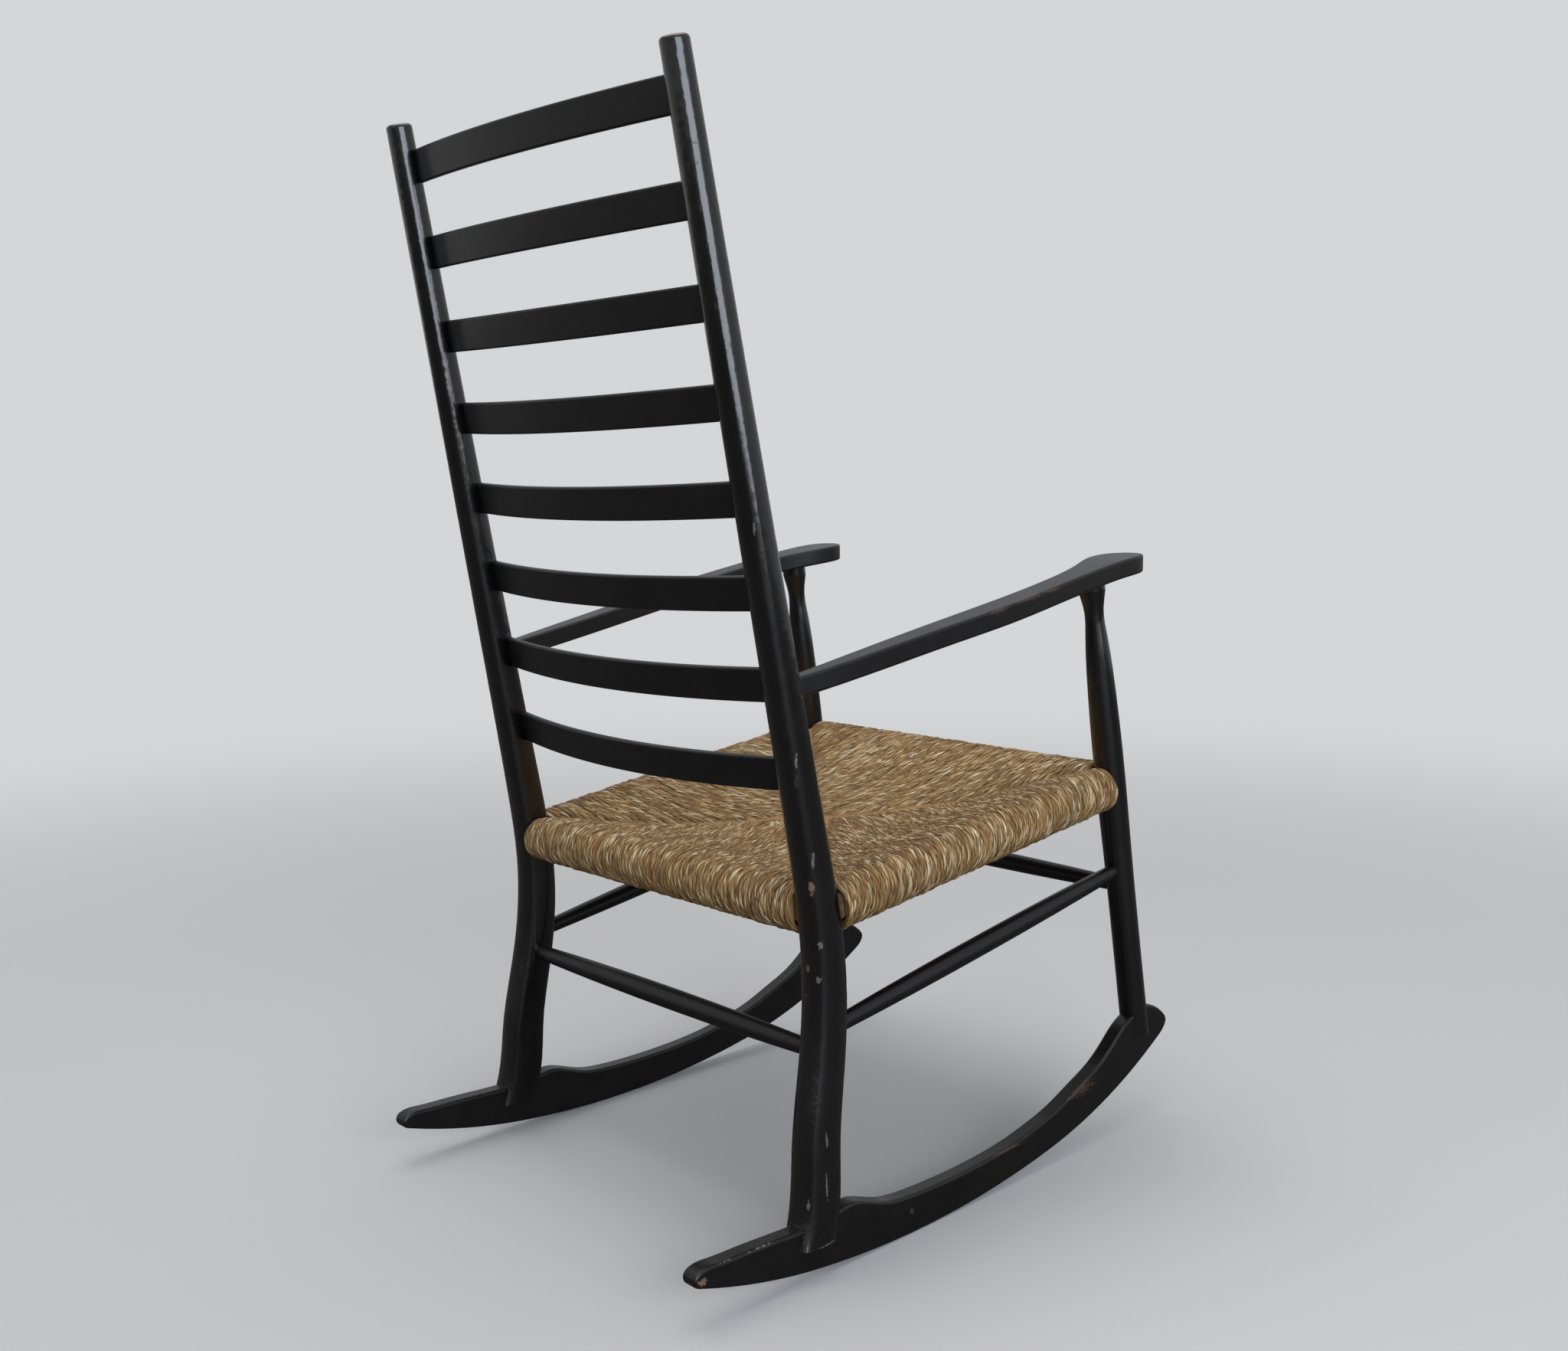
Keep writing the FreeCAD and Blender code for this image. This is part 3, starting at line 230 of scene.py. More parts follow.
class Graph:
    """Adds nodes to a material's or a group's tree."""

    def __init__(self, tree):
        self.tree = tree

    def add(self, kind, inputs=None, **settings):
        node = self.tree.nodes.new(kind)
        for key, value in settings.items():
            setattr(node, key, value)
        self.feed(node, inputs or {})
        return node

    def feed(self, node, inputs):
        """Links a node's inputs to sockets, or sets them to plain values."""
        for key, value in inputs.items():
            if isinstance(value, bpy.types.NodeSocket):
                self.tree.links.new(value, node.inputs[key])
            else:
                node.inputs[key].default_value = value

    def where(self):
        """The piece's own coordinates, in metres."""
        return self.add("ShaderNodeTexCoord").outputs["Object"]

    def math(self, operation, first, second=0.0, clamp=False):
        return self.add(
            "ShaderNodeMath", {0: first, 1: second}, operation=operation, use_clamp=clamp
        ).outputs[0]

    def vector(self, operation, first, second=None):
        """A vector operation. A dot product and a length put out a value."""
        inputs = {0: first} if second is None else {0: first, 1: second}
        node = self.add("ShaderNodeVectorMath", inputs, operation=operation)
        return node.outputs["Value" if operation in ("DOT_PRODUCT", "LENGTH") else "Vector"]

    def smooth(self, value, low, high):
        """0 below low, 1 above high, and a smooth step between them."""
        return self.add(
            "ShaderNodeMapRange", {0: value, 1: low, 2: high}, interpolation_type="SMOOTHSTEP"
        ).outputs[0]

    def mix(self, share, first, second):
        """The first colour where the share is 0 and the second where it is 1."""
        first, second = (
            tint if isinstance(tint, bpy.types.NodeSocket) else (*tint[:3], 1)
            for tint in (first, second)
        )
        node = self.add("ShaderNodeMix", {0: share, 6: first, 7: second}, data_type="RGBA")
        return node.outputs[2]

    def noise(self, vector, scale, detail, rough):
        node = self.add(
            "ShaderNodeTexNoise",
            {"Vector": vector, "Scale": scale, "Detail": detail, "Roughness": rough},
        )
        return node.outputs["Fac"]

    def link(self, first, second):
        self.tree.links.new(first, second)


def new_group(name, inputs, outputs):
    """The graph of a new node group with named sockets, and its inputs and outputs."""
    tree = bpy.data.node_groups.new(name, "ShaderNodeTree")
    for label, kind, default in inputs:
        socket = tree.interface.new_socket(label, in_out="INPUT", socket_type=kind)
        if default is not None:
            socket.default_value = default
    for label, kind in outputs:
        tree.interface.new_socket(label, in_out="OUTPUT", socket_type=kind)
    graph = Graph(tree)
    source = graph.add("NodeGroupInput").outputs
    result = graph.add("NodeGroupOutput").inputs
    return graph, source, result


def grain_group():
    """Grain, brush marks and blotches of lacquered wood, from coordinates in metres."""
    g, source, result = new_group(
        "wood_grain",
        [("Vector", "NodeSocketVector", None), ("Stretch", "NodeSocketVector", (1.0, 1.0, 1.0))],
        [
            ("Grain", "NodeSocketFloat"),
            ("Blotch", "NodeSocketFloat"),
            ("Height", "NodeSocketFloat"),
        ],
    )
    stretched = g.vector("MULTIPLY", source["Vector"], source["Stretch"])
    fine = g.noise(stretched, scale=520.0, detail=4.0, rough=0.62)
    broad = g.noise(stretched, scale=130.0, detail=2.0, rough=0.5)
    blotch = g.noise(source["Vector"], scale=26.0, detail=4.0, rough=0.6)
    specks = g.noise(stretched, scale=900.0, detail=1.0, rough=0.4)
    pores = g.smooth(specks, low=0.60, high=0.72)
    height = g.math("ADD", g.math("MULTIPLY", fine, 0.5), g.math("MULTIPLY", broad, 0.5))
    g.link(fine, result["Grain"])
    g.link(blotch, result["Blotch"])
    g.link(g.math("SUBTRACT", height, g.math("MULTIPLY", pores, 0.25)), result["Height"])
    return g.tree


def edge_group():
    """Wear along edges: where a bevelled normal leaves the true one, broken up by noise."""
    g, source, result = new_group(
        "edge_wear",
        [
            ("Vector", "NodeSocketVector", None),
            ("Width", "NodeSocketFloat", 0.003),
            ("Amount", "NodeSocketFloat", 0.5),
        ],
        [("Rubbed", "NodeSocketFloat"), ("Bare", "NodeSocketFloat")],
    )
    round_edge = g.add("ShaderNodeBevel", {"Radius": source["Width"]}, samples=6).outputs[0]
    true_normal = g.add("ShaderNodeNewGeometry").outputs["True Normal"]
    same = g.vector("DOT_PRODUCT", round_edge, true_normal)
    edge = g.smooth(g.math("SUBTRACT", 1.0, same), low=0.03, high=0.12)
    patches = g.noise(source["Vector"], scale=38.0, detail=5.0, rough=0.65)
    fine = g.noise(source["Vector"], scale=420.0, detail=3.0, rough=0.6)
    mixed = g.math("ADD", g.math("MULTIPLY", patches, 0.7), g.math("MULTIPLY", fine, 0.3))
    level = g.math("ADD", mixed, g.math("MULTIPLY", source["Amount"], 0.3))
    g.link(g.math("MULTIPLY", edge, g.smooth(level, 0.56, 0.68)), result["Rubbed"])
    g.link(g.math("MULTIPLY", edge, g.smooth(level, 0.70, 0.76)), result["Bare"])
    return g.tree


def mark_group():
    """One chip or dent: an oval about a place, with a ragged rim."""
    g, source, result = new_group(
        "chip",
        [
            ("Vector", "NodeSocketVector", None),
            ("Place", "NodeSocketVector", (0.0, 0.0, 0.0)),
            ("Size", "NodeSocketVector", (0.01, 0.01, 0.01)),
            ("Ragged", "NodeSocketFloat", 0.6),
        ],
        [("Mask", "NodeSocketFloat"), ("Rim", "NodeSocketFloat")],
    )
    offset = g.vector("SUBTRACT", source["Vector"], source["Place"])
    distance = g.vector("LENGTH", g.vector("DIVIDE", offset, source["Size"]))
    rough = g.noise(source["Vector"], scale=330.0, detail=3.0, rough=0.6)
    ragged = g.math("MULTIPLY", g.math("SUBTRACT", rough, 0.5), source["Ragged"])
    level = g.math("ADD", distance, g.math("MULTIPLY", ragged, 3.0))
    mask = g.math("SUBTRACT", 1.0, g.smooth(level, 0.85, 1.0))
    outer = g.math("SUBTRACT", 1.0, g.smooth(level, 1.05, 1.35))
    g.link(mask, result["Mask"])
    g.link(g.math("SUBTRACT", outer, mask), result["Rim"])
    return g.tree


def rush_group():
    """Twisted blades of a rush strand: stretched cells wound round the strand.

    The UV map holds the strand's length in turns of its twist and its way round in turns. Their sum
    is the way round the twisted strand, so equal sums follow one blade.
    """
    g, source, result = new_group(
        "rush_blades",
        [("UV", "NodeSocketVector", None), ("Strand", "NodeSocketFloat", 0.0)],
        [("Tone", "NodeSocketFloat"), ("Gap", "NodeSocketFloat"), ("Height", "NodeSocketFloat")],
    )
    blade_scale, along_scale, strand_apart, bend = 1.4, 1.08, 97.0, 0.22
    parts = g.add("ShaderNodeSeparateXYZ", {0: source["UV"]}).outputs
    turn = g.math("MULTIPLY", g.math("ADD", parts[0], parts[1]), 2 * math.pi)
    own_stretch = g.math("MULTIPLY", source["Strand"], strand_apart)
    along = g.math("ADD", g.math("MULTIPLY", parts[0], along_scale), own_stretch)
    wound = g.add(
        "ShaderNodeCombineXYZ",
        {0: g.math("COSINE", turn), 1: g.math("SINE", turn), 2: along},
    ).outputs[0]
    wobble = g.add(
        "ShaderNodeTexNoise", {"Vector": wound, "Scale": 1.5, "Detail": 1.0}
    ).outputs["Color"]
    wound = g.vector("ADD", wound, g.vector("MULTIPLY", wobble, (bend, bend, bend)))
    blades = {"Vector": wound, "Scale": blade_scale, "Randomness": 1.0}
    cells = g.add("ShaderNodeTexVoronoi", blades)
    rim = g.add("ShaderNodeTexVoronoi", blades, feature="DISTANCE_TO_EDGE").outputs["Distance"]
    own = g.add("ShaderNodeSeparateColor", {0: cells.outputs["Color"]}).outputs
    drawn_out = g.vector("MULTIPLY", wound, (7.0, 7.0, 0.8))
    fibres = g.noise(drawn_out, scale=2.2, detail=3.0, rough=0.6)
    stretch = g.add("ShaderNodeCombineXYZ", {0: along, 1: source["Strand"]}).outputs[0]
    patch = g.noise(stretch, scale=0.7, detail=2.0, rough=0.5)
    tone = g.math("ADD", g.math("MULTIPLY", own[0], 0.78), g.math("MULTIPLY", fibres, 0.22))
    tone = g.math("ADD", tone, g.math("MULTIPLY", g.math("SUBTRACT", patch, 0.5), 0.30))
    g.link(tone, result["Tone"])
    g.link(g.math("SUBTRACT", 1.0, g.smooth(rim, 0.01, 0.13)), result["Gap"])
    height = g.math("ADD", g.smooth(rim, 0.0, 0.30), g.math("MULTIPLY", fibres, 0.35))
    g.link(g.math("ADD", height, g.math("MULTIPLY", own[1], 0.35)), result["Height"])
    return g.tree


GROUP_MAKERS = {
    "wood_grain": grain_group,
    "edge_wear": edge_group,
    "chip": mark_group,
    "rush_blades": rush_group,
}


def new_material(name):
    """A material with its graph and its shader."""
    material = bpy.data.materials.new(name)
    material.use_nodes = True
    graph = Graph(material.node_tree)
    shader = material.node_tree.nodes["Principled BSDF"]
    return material, graph, shader


def place_group(graph, name, inputs):
    """The outputs of a shared group, which is made on its first use."""
    tree = bpy.data.node_groups.get(name) or GROUP_MAKERS[name]()
    node = graph.add("ShaderNodeGroup", node_tree=tree)
    graph.feed(node, inputs)
    return node.outputs


# Materials


def lacquer(name, stretch, wear, roughness, coat, marks=()):
    """Black satin lacquer. The stretch runs the grain along the piece; marks are wear on it.

    A mark is a place, a size, a raggedness and a kind: bare wood, scuff, dent or rub.
    """
    ink = bpy.context.scene.chair_lacquer
    material, g, shader = new_material(name)
    where = g.where()
    grain = place_group(g, "wood_grain", {"Vector": where, "Stretch": stretch})
    edge = place_group(g, "edge_wear", {"Vector": where, "Amount": wear})
    cloudy = g.math("MULTIPLY", g.smooth(grain["Blotch"], 0.42, 0.70), 0.5)
    base = g.mix(cloudy, ink.black, tuple(2.2 * value for value in ink.black))
    base = g.mix(g.math("MULTIPLY", g.smooth(grain["Grain"], 0.58, 0.85), 0.05), base, ink.worn)
    base = g.mix(edge["Rubbed"], base, ink.worn)
    base = g.mix(edge["Bare"], base, ink.wood)
    rough = g.math("ADD", roughness, g.math("MULTIPLY", grain["Blotch"], 0.14))
    rough = g.math("ADD", rough, g.math("MULTIPLY", edge["Rubbed"], 0.22))
    height = g.math("MULTIPLY", grain["Height"], 0.35)
    tones = {"bare": ink.wood, "scuff": ink.dust, "dent": ink.black, "rub": ink.worn}
    for place, size, ragged, kind in marks:
        chip = place_group(
            g, "chip", {"Vector": where, "Place": place, "Size": size, "Ragged": ragged}
        )
        base = g.mix(chip["Mask"], base, tones[kind])
        if kind in ("bare", "dent"):
            base = g.mix(g.math("MULTIPLY", chip["Rim"], 0.5), base, ink.worn)
            height = g.math("SUBTRACT", height, g.math("MULTIPLY", chip["Mask"], 1.6))
        rough = g.math("ADD", rough, g.math("MULTIPLY", chip["Mask"], 0.25))
    bump = g.add("ShaderNodeBump", {"Height": height, "Strength": 0.35, "Distance": 0.0004})
    g.feed(shader, {
        "Base Color": base,
        "Roughness": rough,
        "Normal": bump.outputs[0],
        "Specular IOR Level": 0.5,
        "Coat Weight": coat,
        "Coat Roughness": 0.09,
    })
    return material


def bare_wood(name, tone, stretch):
    """Wood without lacquer, in a tone and a darker one."""
    material, g, shader = new_material(name)
    where = g.where()
    grain = place_group(g, "wood_grain", {"Vector": where, "Stretch": stretch})
    dark = tuple(0.6 * value for value in tone)
    bump = g.add("ShaderNodeBump", {"Height": grain["Height"], "Strength": 0.5, "Distance": 0.0004})
    g.feed(shader, {
        "Base Color": g.mix(g.smooth(grain["Grain"], 0.35, 0.7), dark, tone),
        "Roughness": g.math("ADD", 0.55, g.math("MULTIPLY", grain["Blotch"], 0.2)),
        "Normal": bump.outputs[0],
    })
    return material


def rush_material():
    """Dry rush: each blade has its own tone; painted shade darkens the gaps between blades and the
    tucked ends at mitre seams.
    """
    rush = bpy.context.scene.chair_rush
    material, g, shader = new_material("natural_rush")
    uv = g.add("ShaderNodeUVMap", uv_map="strand").outputs[0]
    strand = g.add("ShaderNodeAttribute", attribute_name="strand_tone").outputs["Fac"]
    blades = place_group(g, "rush_blades", {"UV": uv, "Strand": strand})
    shift = g.math("MULTIPLY", g.math("SUBTRACT", strand, 0.5), 0.20)
    tone = g.math("ADD", blades["Tone"], shift, clamp=True)
    ramp = g.add("ShaderNodeValToRGB", {0: tone})
    stops = [
        (0.16, rush.brown),
        (0.42, rush.tan),
        (0.60, rush.tan),
        (0.74, rush.straw),
        (0.88, rush.bleached),
    ]
    elements = ramp.color_ramp.elements
    while len(elements) < len(stops):
        elements.new(0.5)
    for element, (place, tint) in zip(elements, stops):
        element.position = place
        element.color = (*tint, 1)
    dusty = g.smooth(g.noise(g.where(), scale=14.0, detail=3.0, rough=0.55), 0.45, 0.75)
    base = g.mix(g.math("MULTIPLY", dusty, 0.35), ramp.outputs[0], rush.brown)
    base = g.mix(g.math("MULTIPLY", blades["Gap"], 0.85), base, rush.dark)
    # Painted shade: strands darken where they tuck under the next panel at a mitre
    seam_shade = g.add("ShaderNodeAttribute", attribute_name="seam_shade").outputs["Fac"]
    base = g.mix(g.math("MULTIPLY", seam_shade, 0.6), base, rush.dark)
    bump = g.add(
        "ShaderNodeBump", {"Height": blades["Height"], "Strength": 0.75, "Distance": 0.0011}
    )
    g.feed(shader, {
        "Base Color": base,
        "Roughness": g.math("ADD", 0.52, g.math("MULTIPLY", blades["Gap"], 0.3)),
        "Normal": bump.outputs[0],
        "Specular IOR Level": 0.38,
    })
    return material


def stuffing_material():
    """Chopped rush, without separate blades."""
    rush = bpy.context.scene.chair_rush
    material, g, shader = new_material("rush_stuffing")
    where = g.where()
    straw = g.noise(where, scale=260.0, detail=4.0, rough=0.7)
    g.feed(shader, {"Base Color": g.mix(straw, rush.brown, rush.tan), "Roughness": 0.9})
    return material


# Meshes


@contextmanager
def edited(mesh):
    """The mesh opened for editing and written back at the end."""
    work = bmesh.new()
    work.from_mesh(mesh)
    yield work
    work.to_mesh(mesh)
    work.free()


def point_values(mesh, name, values):
    """A named value on each of the mesh's points, for the materials."""
    attribute = mesh.attributes.new(name, "FLOAT", "POINT")
    attribute.data.foreach_set("value", values.astype(np.float32))


def mesh_object(name, points, quads, material):
    """A smooth object at the origin from arrays of points and quads."""
    mesh = bpy.data.meshes.new(name)
    mesh.from_pydata(points.tolist(), [], quads.tolist())
    mesh.update()
    mesh.polygons.foreach_set("use_smooth", np.full(len(mesh.polygons), True))
    piece = bpy.data.objects.new(name, mesh)
    bpy.context.scene.collection.objects.link(piece)
    mesh.materials.append(material)
    return piece


def spread(first, last, spacing):
    """Places from first to last at the spacing, with what is left over shared by both ends."""
    run = np.arange(first, last + 1e-6, spacing)
    return run + (last - run[-1]) / 2


class SeatShape:
    """The seat's own frame and the line of its strands.

    The frame has its origin at the middle of the rear rail, x across, y forward in the seat's plane
    and z square to it.
    """

    def __init__(self, rush):
        self.rush = rush
        rear = np.array([0.0, rush.rear_y, rush.rear_z])
        front = np.array([0.0, rush.front_y, rush.front_z])
        self.origin = rear
        self.depth = float(np.linalg.norm(front - rear))
        self.forward = (front - rear) / self.depth
        self.across = np.array([1.0, 0.0, 0.0])
        self.up = np.cross(self.across, self.forward)
        if self.up[2] < 0:
            self.up = -self.up
        self.lean = math.atan2(rush.front_half - rush.rear_half, self.depth)
        self.rear_turn = math.tan((math.pi / 2 + self.lean) / 2)
        self.front_turn = math.tan((math.pi / 2 - self.lean) / 2)

    def dip(self, distance):
        """The sag times one minus a falling exponential of the distance from the rail.

        The distance is taken in dip reaches and to the power 1.6.
        """
        rush = self.rush
        return rush.sag * (1 - np.exp(-((distance / rush.reach) ** 1.6)))

    def panels(self):
        """The four panels by name.

        A panel has the start of its rail, its rail's direction, its inward direction, the strands'
        places along the rail and how far each strand reaches inward.
        """
        rush = self.rush
        half = self.depth / 2
        front = self.origin + self.forward * self.depth
        ends = {
            "rear": (self.origin, self.forward, rush.rear_half, rush.rear_gap, self.rear_turn),
            "front": (front, -self.forward, rush.front_half, rush.front_gap, self.front_turn),
        }
        panels = {}
        for name, (start, inward, half_width, gap, turn) in ends.items():
            run = spread(-half_width + gap, half_width - gap, rush.spacing)
            reach = np.minimum((half_width - abs(run)) * turn, half)
            panels[name] = Panel(start, self.across, inward, run, reach)
        span = self.depth / math.cos(self.lean)
        run = spread(rush.rear_side_gap, span - rush.front_gap, rush.spacing)
        reach = np.minimum(run * self.rear_turn, (span - run) * self.front_turn)
        for side, name in ((1, "left"), (-1, "right")):
            along = self.forward * math.cos(self.lean) + self.across * side * math.sin(self.lean)
            inward = self.across * -side * math.cos(self.lean) + self.forward * math.sin(self.lean)
            start = self.origin + self.across * side * rush.rear_half
            panels[name] = Panel(start, along, inward, run, reach)
        return panels

    def line(self, reach, radius):
        """Middle line of each strand as distance inward and height, and how far it is tucked in.

        It runs from the top's mitre to the rail, round it in a half circle, and back to the
        underside's mitre, where it hangs lower by a quarter sine wave. Towards each mitre it sinks
        under the next panel by a falling exponential of the distance.
        """
        rush = self.rush
        top = np.linspace(1, 0, TOP_RINGS, endpoint=False) ** 0.9
        turn = np.linspace(0, math.pi, TURN_RINGS)
        below = np.linspace(0, 1, BELOW_RINGS + 1)[1:]
        ends = reach[:, None] + TUCK
        roll = rush.roll - radius[:, None]
        shift = rush.roll - roll
        down_top = ends * top
        down_below = ends * below
        to_middle = np.minimum(1, down_below / (0.5 * self.depth))
        swell = rush.swell * np.sin(0.5 * math.pi * to_middle)
        inward = np.hstack([down_top, -roll * np.sin(turn)[None, :], down_below])
        height = np.hstack([
            rush.roll - self.dip(down_top) - shift,
            roll * np.cos(turn)[None, :],
            -rush.roll - swell + shift,
        ])
        from_end = np.hstack([
            reach[:, None] - down_top,
            np.full_like(roll * turn[None, :], FAR_FROM_END),
            reach[:, None] - down_below,
        ])
        sink = SEAM_DEPTH * np.exp(-np.maximum(from_end + TUCK, 0) / SEAM_WIDTH)
        height[:, :TOP_RINGS] -= sink[:, :TOP_RINGS]
        height[:, -BELOW_RINGS:] += sink[:, -BELOW_RINGS:]
        return inward, height, sink / SEAM_DEPTH


def strand_mesh(name, panel, shape, seed, material):
    """Tubes along a panel's strands, two-plied by a twist.

    A ring's radius is the strand's, times one plus two small sine waves along it, times one plus a
    cosine wave that goes twice round it and turns with the twist.
    """
    rush = shape.rush
    random = np.random.default_rng(seed)
    count = len(panel.run)
    radius = rush.strand * (1 + RADIUS_SPREAD * random.uniform(-1, 1, count))
    distance, height, tucked = shape.line(panel.reach, radius)
    rings = distance.shape[1]
    height += (
        rush.strand * HEIGHT_SPREAD * random.uniform(-1, 1, count)[:, None] * np.sign(height)
    )
    drift = rush.spacing * DRIFT * random.uniform(-1, 1, count)[:, None]
    phase = random.uniform(0, 2 * math.pi, (count, 1))
    tone = random.uniform(0, 1, count)

    step = np.hypot(np.diff(distance, axis=1), np.diff(height, axis=1))
    travel = np.hstack([np.zeros((count, 1)), np.cumsum(step, axis=1)])
    sway = rush.spacing * SWAY * np.sin(travel / SWAY_LENGTH + phase) + drift
    middle = (
        panel.start
        + panel.along * (panel.run[:, None] + sway)[..., None]
        + panel.inward * distance[..., None]
        + shape.up * height[..., None]
    )
    ahead = np.gradient(middle, axis=1)
    ahead /= np.linalg.norm(ahead, axis=2, keepdims=True)
    sideways = panel.along / np.linalg.norm(panel.along)
    outward = np.cross(ahead, sideways)
    outward /= np.linalg.norm(outward, axis=2, keepdims=True)
    # The sign of this mean turns the rings outward. Its size is about 0.74, because the rings in
    # the dip lie below the seat's plane and count the other way. So it also flattens the strands.
    upward = shape.up * np.sign(height)[..., None]
    outward *= np.sign((outward * upward).sum(axis=2)).mean()

    round_way = np.arange(SIDES) / SIDES
    angle = 2 * math.pi * round_way
    lay = travel / rush.pitch + phase / (2 * math.pi)
    wave = (
        1
        + LONG_WAVE * np.sin(travel / LONG_WAVE_LENGTH + 2.1 * phase)
        + SHORT_WAVE * np.sin(travel / SHORT_WAVE_LENGTH + phase)
    )
    ply = PLY * np.cos(2 * (angle[None, None, :] + 2 * math.pi * lay[..., None]))
    size = (radius[:, None] * wave * (1 - SEAM_THINNING * tucked))[..., None] * (1 + ply)
    size[:, [0, -1]] *= END_SIZE
    points = (
        middle[:, :, None, :]
        + outward[:, :, None, :] * (np.cos(angle)[None, None, :] * size)[..., None]
        + sideways * (np.sin(angle)[None, None, :] * size)[..., None]
    )

    index = np.arange(count * rings * SIDES).reshape(count, rings, SIDES)
    here, there = index[:, :-1, :], index[:, 1:, :]
    quads = np.stack([here, np.roll(here, -1, 2), np.roll(there, -1, 2), there], axis=-1)
    quads = quads.reshape(-1, 4)
    any_ring = 5
    if np.dot(np.cross(outward[0, any_ring], sideways), ahead[0, any_ring]) < 0:
        quads = quads[:, ::-1]
    piece = mesh_object(name, points.reshape(-1, 3), quads, material)
    mesh = piece.data

    # The map's second value goes on past 1 on the quads that close a ring
    corner = quads.reshape(-1)
    u = np.repeat(lay.reshape(-1), SIDES)[corner]
    v = np.tile(round_way, count * rings)[corner].reshape(-1, 4)
    v = np.where((v.max(axis=1, keepdims=True) - v) > 0.5, v + 1, v).reshape(-1)
    layer = mesh.uv_layers.new(name="strand")
    layer.data.foreach_set("uv", np.stack([u, v], axis=1).reshape(-1).astype(np.float32))
    point_values(mesh, "strand_tone", np.repeat(tone, rings * SIDES))
    # How far each point is tucked in at a mitre, for the painted shade there
    point_values(mesh, "seam_shade", np.repeat(tucked.reshape(-1), SIDES))
    with edited(mesh) as work:
        open_ends = [edge for edge in work.edges if edge.is_boundary]
        bmesh.ops.holes_fill(work, edges=open_ends, sides=SIDES)
    return piece


def stuffing(material):
    """The closed form under the strands: the seat's own solid, drawn in along its normals."""
    piece = bpy.data.objects.new("rush_stuffing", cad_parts["rush_seat"].data.copy())
    bpy.context.scene.collection.objects.link(piece)
    mesh = piece.data
    with edited(mesh) as work:
        bmesh.ops.remove_doubles(work, verts=work.verts, dist=1e-6)
        bmesh.ops.recalc_face_normals(work, faces=work.faces)
    mesh.update()
    points = np.zeros(len(mesh.vertices) * 3)
    mesh.vertices.foreach_get("co", points)
    normals = np.zeros(len(mesh.vertices) * 3)
    mesh.vertices.foreach_get("normal", normals)
    mesh.vertices.foreach_set("co", points - STUFFING_DEPTH * normals)
    mesh.update()
    mesh.materials.clear()
    mesh.materials.append(material)
    return piece


def paint(nodes, material):
    """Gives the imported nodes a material. Their meshes stay as they are."""
    for name in nodes:
        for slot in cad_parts[name].material_slots:
            slot.material = material


# Operators


class CHAIR_OT_wood(bpy.types.Operator):
    """Lacquers the posts, legs, slats, armrests, runners and stretchers"""

    bl_idname = "chair.wood"
    bl_label = "Lacquer the Wood"

    def execute(self, context):
        ink = context.scene.chair_lacquer
        tall = {"stretch": GRAIN_Z, "roughness": 0.15, "coat": 0.6}
        long = {"stretch": GRAIN_Y, "roughness": 0.32, "coat": 0.15}
        wide = {"stretch": GRAIN_X, "roughness": 0.36, "coat": 0.1}
        paint(UPRIGHT, lacquer("lacquer_upright", wear=0.05, **tall))
        paint(ACROSS, lacquer("lacquer_across", wear=0.1, **wide))
        paint(FORE_AFT, lacquer("lacquer_fore_aft", wear=0.45, **long))
        worn_pieces = (
            ("rear_post_right", "lacquer_worn_post", 0.25, POST_MARKS, tall),
            ("runner_right", "lacquer_worn_runner", 0.6, RUNNER_MARKS, long),
            ("armrest_right", "lacquer_worn_arm", 0.5, ARM_MARKS, long),
        )
        for node, name, wear, marks, finish in worn_pieces:
            paint([node], lacquer(name, wear=wear, marks=marks, **finish))
        paint(RAILS, bare_wood("bare_beech", ink.beech, RAIL_GRAIN))
        paint(PINS, bare_wood("pin_end_grain", ink.pin, END_GRAIN))
        return {"FINISHED"}


class CHAIR_OT_rush(bpy.types.Operator):
    """Weaves the rush seat: four mitred panels of twisted strands over their stuffing"""

    bl_idname = "chair.rush"
    bl_label = "Weave the Rush Seat"

    def execute(self, context):
        shape = SeatShape(context.scene.chair_rush)
        material = rush_material()
        pieces = [
            strand_mesh(f"rush_{name}", panel, shape, seed, material)
            for seed, (name, panel) in enumerate(shape.panels().items(), 3)
        ]
        pieces.append(stuffing(stuffing_material()))
        for piece in pieces:
            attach(piece, BODY)
            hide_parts("rush_seat")
        return {"FINISHED"}


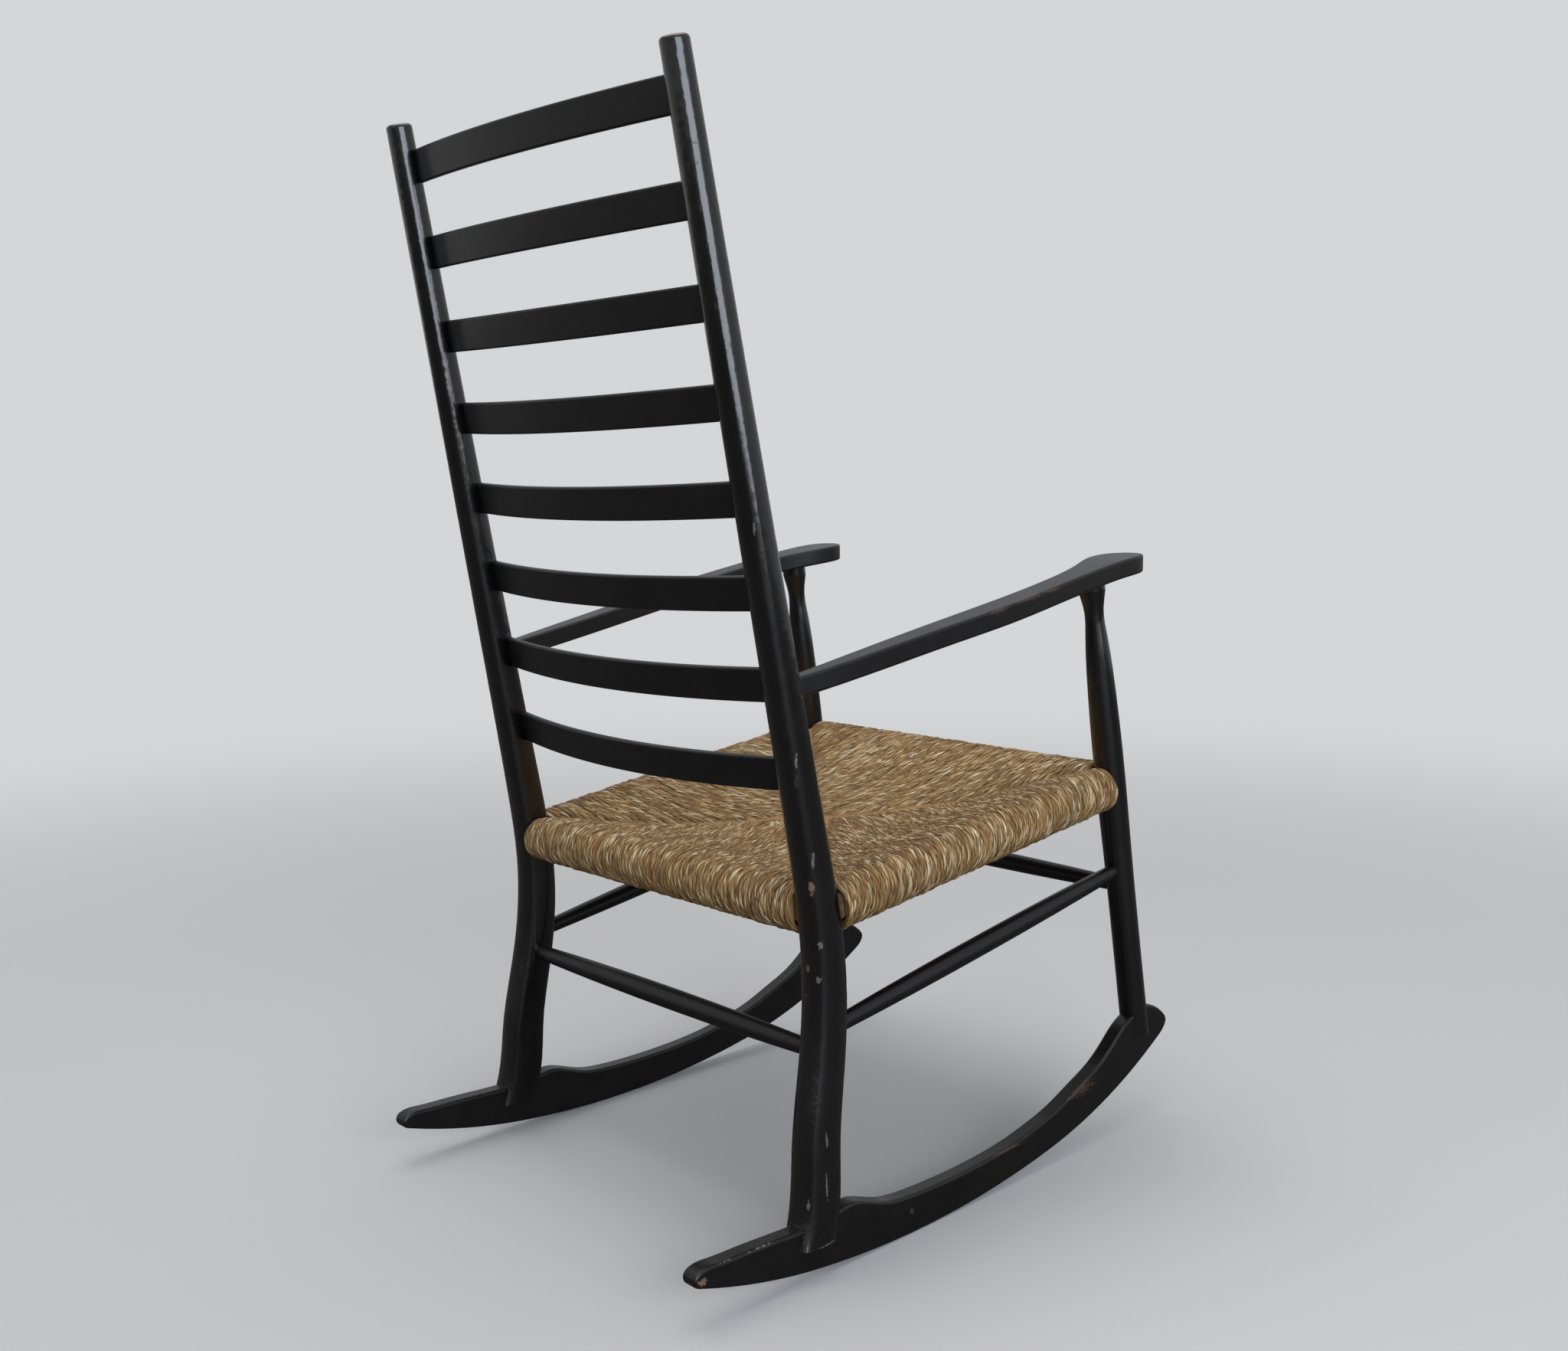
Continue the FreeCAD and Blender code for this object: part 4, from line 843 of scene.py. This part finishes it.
class CHAIR_OT_stage(bpy.types.Operator):
    """Lays the pale floor and sets the light and the camera"""

    bl_idname = "chair.stage"
    bl_label = "Set the Stage"

    def execute(self, context):
        stage = context.scene.chair_stage
        scene = context.scene
        scene.view_settings.view_transform = "Standard"
        self.lay_floor(stage)
        self.light(scene, stage)
        self.aim(scene, stage)
        return {"FINISHED"}

    def lay_floor(self, stage):
        """A disc of rings round the chair that fades into the backdrop far out."""
        angle = 2 * math.pi * np.arange(FLOOR_SIDES) / FLOOR_SIDES
        circle = np.stack([np.cos(angle), np.sin(angle), 0 * angle], axis=1)
        points = (np.array(FLOOR_RINGS)[:, None, None] * circle).reshape(-1, 3)
        index = np.arange(len(points)).reshape(-1, FLOOR_SIDES)
        quads = np.stack(
            [index[:-1], index[1:], np.roll(index[1:], -1, 1), np.roll(index[:-1], -1, 1)], axis=-1
        ).reshape(-1, 4)
        material, g, shader = new_material("pale_floor")
        away = g.vector("LENGTH", g.where())
        seen = g.add("ShaderNodeLightPath").outputs["Is Camera Ray"]
        fade = g.math("MULTIPLY", g.smooth(away, FADE_FROM, FADE_TO), seen)
        g.feed(shader, {"Base Color": g.mix(seen, stage.dim, stage.floor), "Roughness": 0.75})
        glow = g.add("ShaderNodeEmission", {"Color": (*stage.wall, 1)})
        blend = g.add("ShaderNodeMixShader", {0: fade, 1: shader.outputs[0], 2: glow.outputs[0]})
        g.feed(g.tree.nodes["Material Output"], {"Surface": blend.outputs[0]})
        floor = mesh_object("floor", points, quads, material)
        past_first_ring = sum(FLOOR_RINGS[:2]) / 2
        with edited(floor.data) as work:
            rims = [edge for edge in work.edges if edge.is_boundary]
            inner = [edge for edge in rims if edge.verts[0].co.length < past_first_ring]
            bmesh.ops.edgeloop_fill(work, edges=inner)
            bmesh.ops.recalc_face_normals(work, faces=work.faces)

    def light(self, scene, stage):
        """A plain world, which the camera sees in the backdrop's colour, and the lamps."""
        world = bpy.data.worlds.new("studio")
        scene.world = world
        world.use_nodes = True
        g = Graph(world.node_tree)
        plain = g.tree.nodes["Background"]
        g.feed(plain, {"Color": WORLD_TINT, "Strength": WORLD_STRENGTH})
        seen = g.add("ShaderNodeBackground", {"Color": (*stage.wall, 1), "Strength": 1.0})
        path = g.add("ShaderNodeLightPath")
        blend = g.add(
            "ShaderNodeMixShader",
            {0: path.outputs["Is Camera Ray"], 1: plain.outputs[0], 2: seen.outputs[0]},
        )
        g.feed(g.tree.nodes["World Output"], {"Surface": blend.outputs[0]})
        for name, place, target, width, height, power, tint in LAMPS:
            data = bpy.data.lights.new(name, "AREA")
            data.shape = "RECTANGLE"
            data.size, data.size_y = width, height
            data.energy = power
            data.color = tint
            lamp = bpy.data.objects.new(name, data)
            scene.collection.objects.link(lamp)
            lamp.location = place
            lamp.visible_camera = False
            beam = Vector(target) - Vector(place)
            lamp.rotation_euler = beam.to_track_quat("-Z", "Y").to_euler()

    def aim(self, scene, stage):
        """The camera looks along yaw and pitch, and its picture is turned by the roll."""
        sight = Vector((
            math.sin(stage.yaw) * math.cos(stage.pitch),
            -math.cos(stage.yaw) * math.cos(stage.pitch),
            -math.sin(stage.pitch),
        ))
        right = sight.cross(Vector((0, 0, 1))).normalized()
        up = right.cross(sight)
        turned_right = right * math.cos(stage.roll) + up * math.sin(stage.roll)
        turned_up = up * math.cos(stage.roll) - right * math.sin(stage.roll)
        data = bpy.data.cameras.new("photo_angle")
        data.lens = stage.focal
        data.sensor_width = SENSOR_WIDTH
        camera = bpy.data.objects.new("photo_angle", data)
        scene.collection.objects.link(camera)
        basis = Matrix((turned_right, turned_up, -sight)).transposed()
        camera.matrix_world = Matrix.Translation(Vector(stage.eye)) @ basis.to_4x4()
        scene.camera = camera


class CHAIR_PT_sidebar(bpy.types.Panel):
    """Lists the chair's operators and settings"""

    bl_idname = "CHAIR_PT_sidebar"
    bl_label = "Rocking Chair"
    bl_space_type = "VIEW_3D"
    bl_region_type = "UI"
    bl_category = "Rocking Chair"

    def draw(self, context):
        for operator in (CHAIR_OT_wood, CHAIR_OT_rush, CHAIR_OT_stage):
            self.layout.operator(operator.bl_idname)
        scene = context.scene
        for settings in (scene.chair_lacquer, scene.chair_rush, scene.chair_stage):
            box = self.layout.box()
            for name in settings.__annotations__:
                box.prop(settings, name)


CLASSES = (
    LacquerSettings,
    RushSettings,
    StageSettings,
    CHAIR_OT_wood,
    CHAIR_OT_rush,
    CHAIR_OT_stage,
    CHAIR_PT_sidebar,
)


def register():
    for kind in CLASSES:
        bpy.utils.register_class(kind)
    bpy.types.Scene.chair_lacquer = bpy.props.PointerProperty(type=LacquerSettings)
    bpy.types.Scene.chair_rush = bpy.props.PointerProperty(type=RushSettings)
    bpy.types.Scene.chair_stage = bpy.props.PointerProperty(type=StageSettings)


def unregister():
    for name in ("chair_lacquer", "chair_rush", "chair_stage"):
        delattr(bpy.types.Scene, name)
    for kind in reversed(CLASSES):
        bpy.utils.unregister_class(kind)


def main():
    register()
    bpy.ops.chair.wood()
    bpy.ops.chair.rush()
    bpy.ops.chair.stage()


if __name__ == "__main__":
    main()
